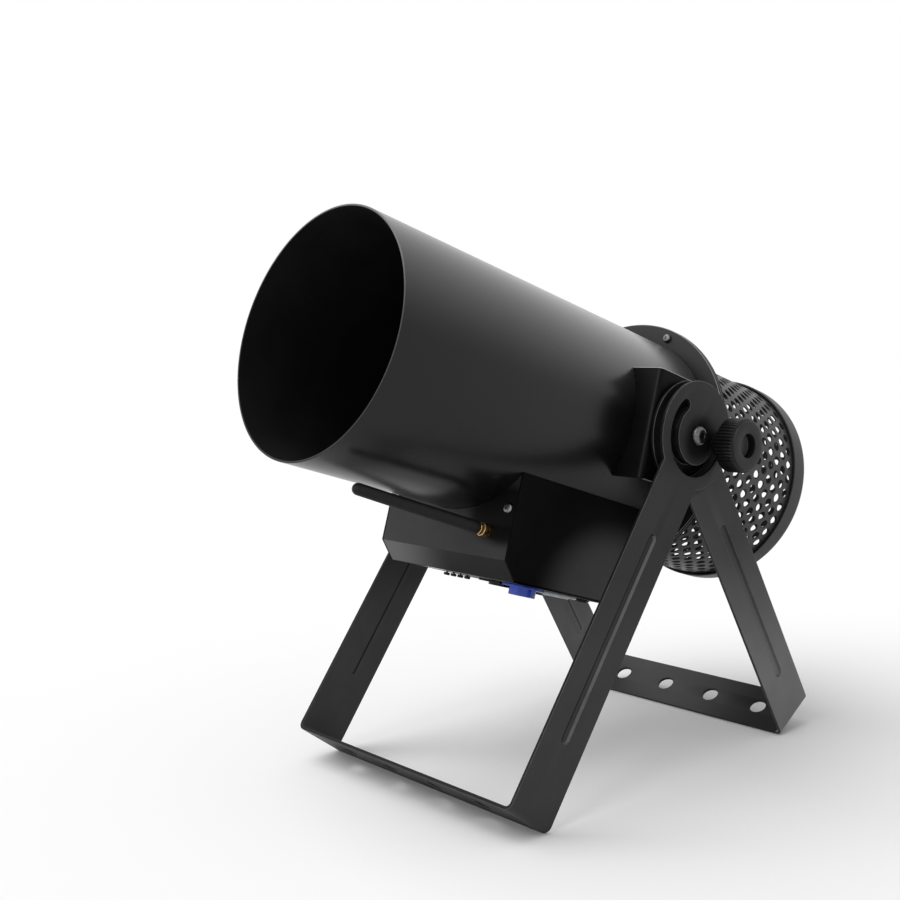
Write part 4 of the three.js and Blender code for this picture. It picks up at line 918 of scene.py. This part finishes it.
def groove(side, length, end_reach, thickness, painted_groove_light):
    """A pressed groove: a channel in the outer face and a low ridge on the inner one.

    With the flag set, one flank of the channel gets a painted highlight and the other painted shade, as does the
    floor beside it; one flank of the inner ridge always gets painted shade.
    """
    bm = bmesh.new()
    half, top, under = GROOVE_WIDTH / 2, thickness / 2, -thickness / 2
    steps = [(half - 3.2 * MM, top - 2 * MM), (half - 1.3 * MM, top - 2 * MM), (half - 0.9 * MM, top - 1.8 * MM),
             (half - 0.2 * MM, top - 0.5 * MM), (half + 0.3 * MM, top - 0.6 * MM),
             (half + 0.3 * MM, under + 0.3 * MM), (half + 2.6 * MM, under + 0.2 * MM),
             (half + 2.4 * MM, under - 0.05 * MM), (2.4 * MM, under - 0.4 * MM), (0.3 * MM, under - 0.5 * MM)]
    rows = [[bm.verts.new((x, y, z)) for x, y in groove_outline(side, length, end_reach, reach_out)]
            for reach_out, z in steps]
    for level, (one, other) in enumerate(zip(rows, rows[1:])):
        for index in range(len(one)):
            after = (index + 1) % len(one)
            face = bm.faces.new((one[index], one[after], other[after], other[index]))
            sideways = face.calc_center_median().y / half
            # Painted highlight on one flank of the channel, painted shade on the other flank and the floor strip
            # beside it, and painted shade on one flank of the inner ridge
            if painted_groove_light and level < 4:
                face.material_index = RIM_AND_SHADE if sideways > 0.2 else LIGHT if sideways < -0.2 and level > 0 else FACE
            elif level == len(steps) - 2 and sideways < 0:
                face.material_index = RIM_AND_SHADE
    bm.faces.new(rows[0])
    bm.faces.new(rows[-1])
    return bm


def bent(point, strip, bend, curl, reach):
    """Maps a point of the flat bar to the bent one, whose arms hang along -Z."""
    side = 1 if point.x >= 0 else -1
    along = abs(point.x)
    if along <= strip:
        return Vector((point.x, -point.y, -reach - point.z))
    turn = min((along - strip) / bend, math.pi / 2)
    radius = bend + point.z
    x = strip + radius * math.sin(turn)
    z = bend - reach - radius * math.cos(turn)
    if along > strip + curl:
        z += along - strip - curl
    return Vector((side * x, -point.y, z))


# Control box and antenna
def control_box():
    softened("box_body", BOX_BLACK, 0.5 * MM, edge=RIM_BLACK)
    # The front plate's slanted part gets a painted reflection
    softened("front_cover", PANEL_BLACK, 0.6 * MM, edge=RIM_BLACK, others=((SLANT_PAINTED_REFLECTION, slanted),))
    softened("control_panel", UNDER_BLACK, 0.5 * MM, edge=RIM_BLACK)
    for name in ("display_window", "control_board", "driver_board", "receiver_board"):
        softened(name, width=0.2 * MM)
    for index in range(4):
        button(f"menu_button_{index + 1}")
    for name in ("power_inlet", "power_outlet"):
        power_connector(name)
    for name in ("signal_inlet", "signal_outlet"):
        softened(name, width=0.4 * MM)
    softened("fuse_holder", width=0.3 * MM)


def slanted(normal, index):
    """The slanted lower part of the front plate."""
    return index == 0 and normal.y < -0.4 and normal.z < -0.4


def button(name):
    low, high = in_machine(name)
    cap, height, stem, neck = 2.9 * MM, 2.6 * MM, 1.7 * MM, 0.9 * MM
    bottom, depth = -low.z, -high.z
    rings = [(0, depth), (stem, depth), (stem, bottom - 5.6 * MM), (neck, bottom - 5.4 * MM),
             (neck, bottom - height), (cap - 0.3 * MM, bottom - height),
             (cap, bottom - 2.3 * MM), (cap, bottom - 0.7 * MM), (cap - 0.25 * MM, bottom - 0.25 * MM),
             (cap - 0.8 * MM, bottom), (0, bottom - 0.15 * MM)]
    place = downwards((low.x + high.x) / 2, (low.y + high.y) / 2)
    piece(name + "_cap", spun(rings, 40), BLACK_PLASTIC, place, name)


def power_connector(name):
    """A panel socket: flange with rounded corners, round body with keyways, contacts inside."""
    low, high = in_machine(name)
    x, y = (low.x + high.x) / 2, (low.y + high.y) / 2
    mouth, back = -low.z, -high.z
    points = [TO_MACHINE @ vertex.co for vertex in frame["nodes"][name].data.vertices]
    flange = -min(point.z for point in points if abs(point.x - x) > 12.5 * MM)
    w, h, r = 13 * MM, 15.5 * MM, 3 * MM
    corners = [(w - r, h - r, 0), (r - w, h - r, 1), (r - w, r - h, 2), (w - r, r - h, 3)]
    outline = [point for cx, cy, turns in corners
               for point in arc(r, turns * math.pi / 2, (turns + 1) * math.pi / 2, cx, cy, 6)]
    holes = [circle(1.7 * MM, sx * 9.6 * MM, sy * 12 * MM, 20) for sx, sy in ((-1, 1), (1, -1))]
    bm = flat_sheet([outline, *holes], 2 * MM, 0.3 * MM)
    bm.transform(Matrix.Rotation(math.pi / 2, 4, "X") @ Matrix.Translation((0, 0, -flange + 1 * MM)))
    body, socket, bottom = 12 * MM, 8.6 * MM, mouth - SOCKET_DEPTH
    rings = [(0, back), (body - 1 * MM, back), (body, back + 1 * MM), (body, mouth - 0.4 * MM),
             (body - 0.4 * MM, mouth), (keyed(socket + 0.5 * MM), mouth), (keyed(socket), mouth - 0.5 * MM),
             (keyed(socket), bottom), (0, bottom)]
    append(bm, spun(rings, 120))
    piece(name + "_shell", bm, FINISHES[SLOT_OF[name]], downwards(x, y), name)
    contacts = bmesh.new()
    for bearing in range(3):
        pin = spun(eased([(0, bottom), (1.5 * MM, bottom), (1.5 * MM, mouth - 4 * MM), (0, mouth - 4 * MM)],
                         0.4 * MM), 20)
        turn = math.radians(90 + 120 * bearing)
        append(contacts, pin, Matrix.Translation((4.6 * MM * math.cos(turn), 0, 4.6 * MM * math.sin(turn))))
    piece(name + "_contacts", contacts, CONTACT_GOLD, downwards(x, y), name)


def antenna():
    axis = Vector(JOINTS["antenna_turn"]["axis"])
    start = Vector(JOINTS["antenna_turn"]["pos_m"])
    place = Matrix.Translation(start) @ axis.to_track_quat("Y", "Z").to_matrix().to_4x4()
    near, far = along_axis("antenna_sleeve", start, axis)
    knurl = ribbed(6 * MM, 0.35 * MM, 36)
    split = far - 0.4 * (far - near)
    rings = [(0, near), (5 * MM, near), (5.5 * MM, near + 0.5 * MM), (knurl, near + 1 * MM), (knurl, split - 1 * MM),
             (5.4 * MM, split - 0.6 * MM), (5.4 * MM, split), (0, split)]
    piece("antenna_nut", spun(rings, 216), BRASS, place, "antenna_sleeve")
    rings = [(0, split), (4.9 * MM, split), (5.3 * MM, split + 0.4 * MM), (5.3 * MM, far - 0.9 * MM),
             (4.6 * MM, far - 0.3 * MM), (4.6 * MM, far), (0, far)]
    piece("antenna_collar", spun(rings, 96), BRASS, place, "antenna_sleeve")
    near, far = along_axis("antenna_rod", start, axis)
    base, tip = 6 * MM, 5 * MM
    rings = [(0, near), (base - 0.6 * MM, near), (base, near + 0.6 * MM), (base, near + 9 * MM),
             (base - 0.25 * MM, near + 9.6 * MM), (tip, far - tip)]
    angles = [math.pi / 2 * i / 10 for i in range(1, 10)]
    rings += [(tip * math.cos(a), far - tip + tip * math.sin(a)) for a in angles] + [(0, far)]
    piece("antenna_whip", spun(rings, ROUND), BLACK_RUBBER, place, "antenna_rod")


def along_axis(name, start, axis):
    """How far a CAD node reaches along an axis, nearest and farthest."""
    reach = [(vertex.co - start).dot(axis) for vertex in frame["nodes"][name].data.vertices]
    return min(reach), max(reach)


barrel()
screws()
guard()
cage()
cage_end()
fan()
motor()
for side, label in ((1, "left"), (-1, "right")):
    side_hardware(side, label)
yoke("front_yoke", POWDER_BLACK, FOOT_PAINTED_SHADE, RIM_BLACK, True)
yoke("rear_yoke", REAR_COAT_LIGHT_AND_SHADE, STRIP_PAINTED_SHADE, REAR_RIM_LIGHT_AND_SHADE, False)
control_box()
antenna()


# Studio
def floor():
    bm = bmesh.new()
    bmesh.ops.create_grid(bm, x_segments=1, y_segments=1, size=30)
    mesh = bpy.data.meshes.new("floor")
    bm.to_mesh(mesh)
    bm.free()
    mesh.materials.append(surface("pale_floor", FLOOR_TONE, FLOOR_TONE, 0.9, mottle=2, grain=40, relief=0.01,
                                  specular=0.1))
    made = in_scene("floor", mesh)


def world():
    """White to the camera and in reflections, a weaker soft light on everything else."""
    made = bpy.data.worlds.new("studio")
    made.use_nodes = True
    tree = made.node_tree
    join = tree.links.new
    background = tree.nodes["Background"]
    background.inputs["Color"].default_value = (1, 1, 1, 1)
    path = node(tree, "ShaderNodeLightPath", (-800, 0))
    seen = node(tree, "ShaderNodeMath", (-600, 100), operation="ADD")
    reflected = node(tree, "ShaderNodeMath", (-400, 0), operation="ADD", use_clamp=True)
    strength = node(tree, "ShaderNodeMapRange", (-200, 0))
    strength.inputs["To Min"].default_value = SOFT_LIGHT
    strength.inputs["To Max"].default_value = 1
    join(path.outputs["Is Camera Ray"], seen.inputs[0])
    join(path.outputs["Is Transmission Ray"], seen.inputs[1])
    join(seen.outputs["Value"], reflected.inputs[0])
    join(path.outputs["Is Glossy Ray"], reflected.inputs[1])
    join(reflected.outputs["Value"], strength.inputs["Value"])
    join(strength.outputs["Result"], background.inputs["Strength"])
    bpy.context.scene.world = made


def sky_light(towards, spread, strength):
    """A wide soft light from one direction, the same all over the floor."""
    data = bpy.data.lights.new("soft_sky", "SUN")
    data.angle = math.radians(spread)
    data.energy = strength
    made = in_scene("soft_sky", data)
    made.rotation_euler = Vector(towards).to_track_quat("Z", "Y").to_euler()


def camera():
    """The photograph's camera, solved from the object's outlines."""
    azimuth, elevation, roll = (math.radians(value) for value in (48.34, 4.77, -0.64))
    distance, lens, aside, rise = 1169.8 * MM, 47.68, -124.6 * MM, -19.2 * MM
    level = math.cos(elevation)
    back = Vector((math.sin(azimuth) * level, -math.cos(azimuth) * level, math.sin(elevation)))
    right = Vector((math.cos(azimuth), math.sin(azimuth), 0))
    up = back.cross(right)
    turned_right = right * math.cos(roll) + up * math.sin(roll)
    turned_up = up * math.cos(roll) - right * math.sin(roll)
    target = PIVOT + right * aside + Vector((0, 0, rise))
    data = bpy.data.cameras.new("camera")
    data.lens = lens
    data.sensor_width = 36
    data.clip_end = 50
    made = in_scene("camera", data)
    place = Matrix((turned_right, turned_up, back)).transposed().to_4x4()
    place.translation = target + back * distance
    made.matrix_world = place
    bpy.context.scene.camera = made


floor()
world()
sky_light((-0.35, -0.65, 1), 70, 2.35)
camera()
bpy.context.scene.view_settings.view_transform = "Standard"
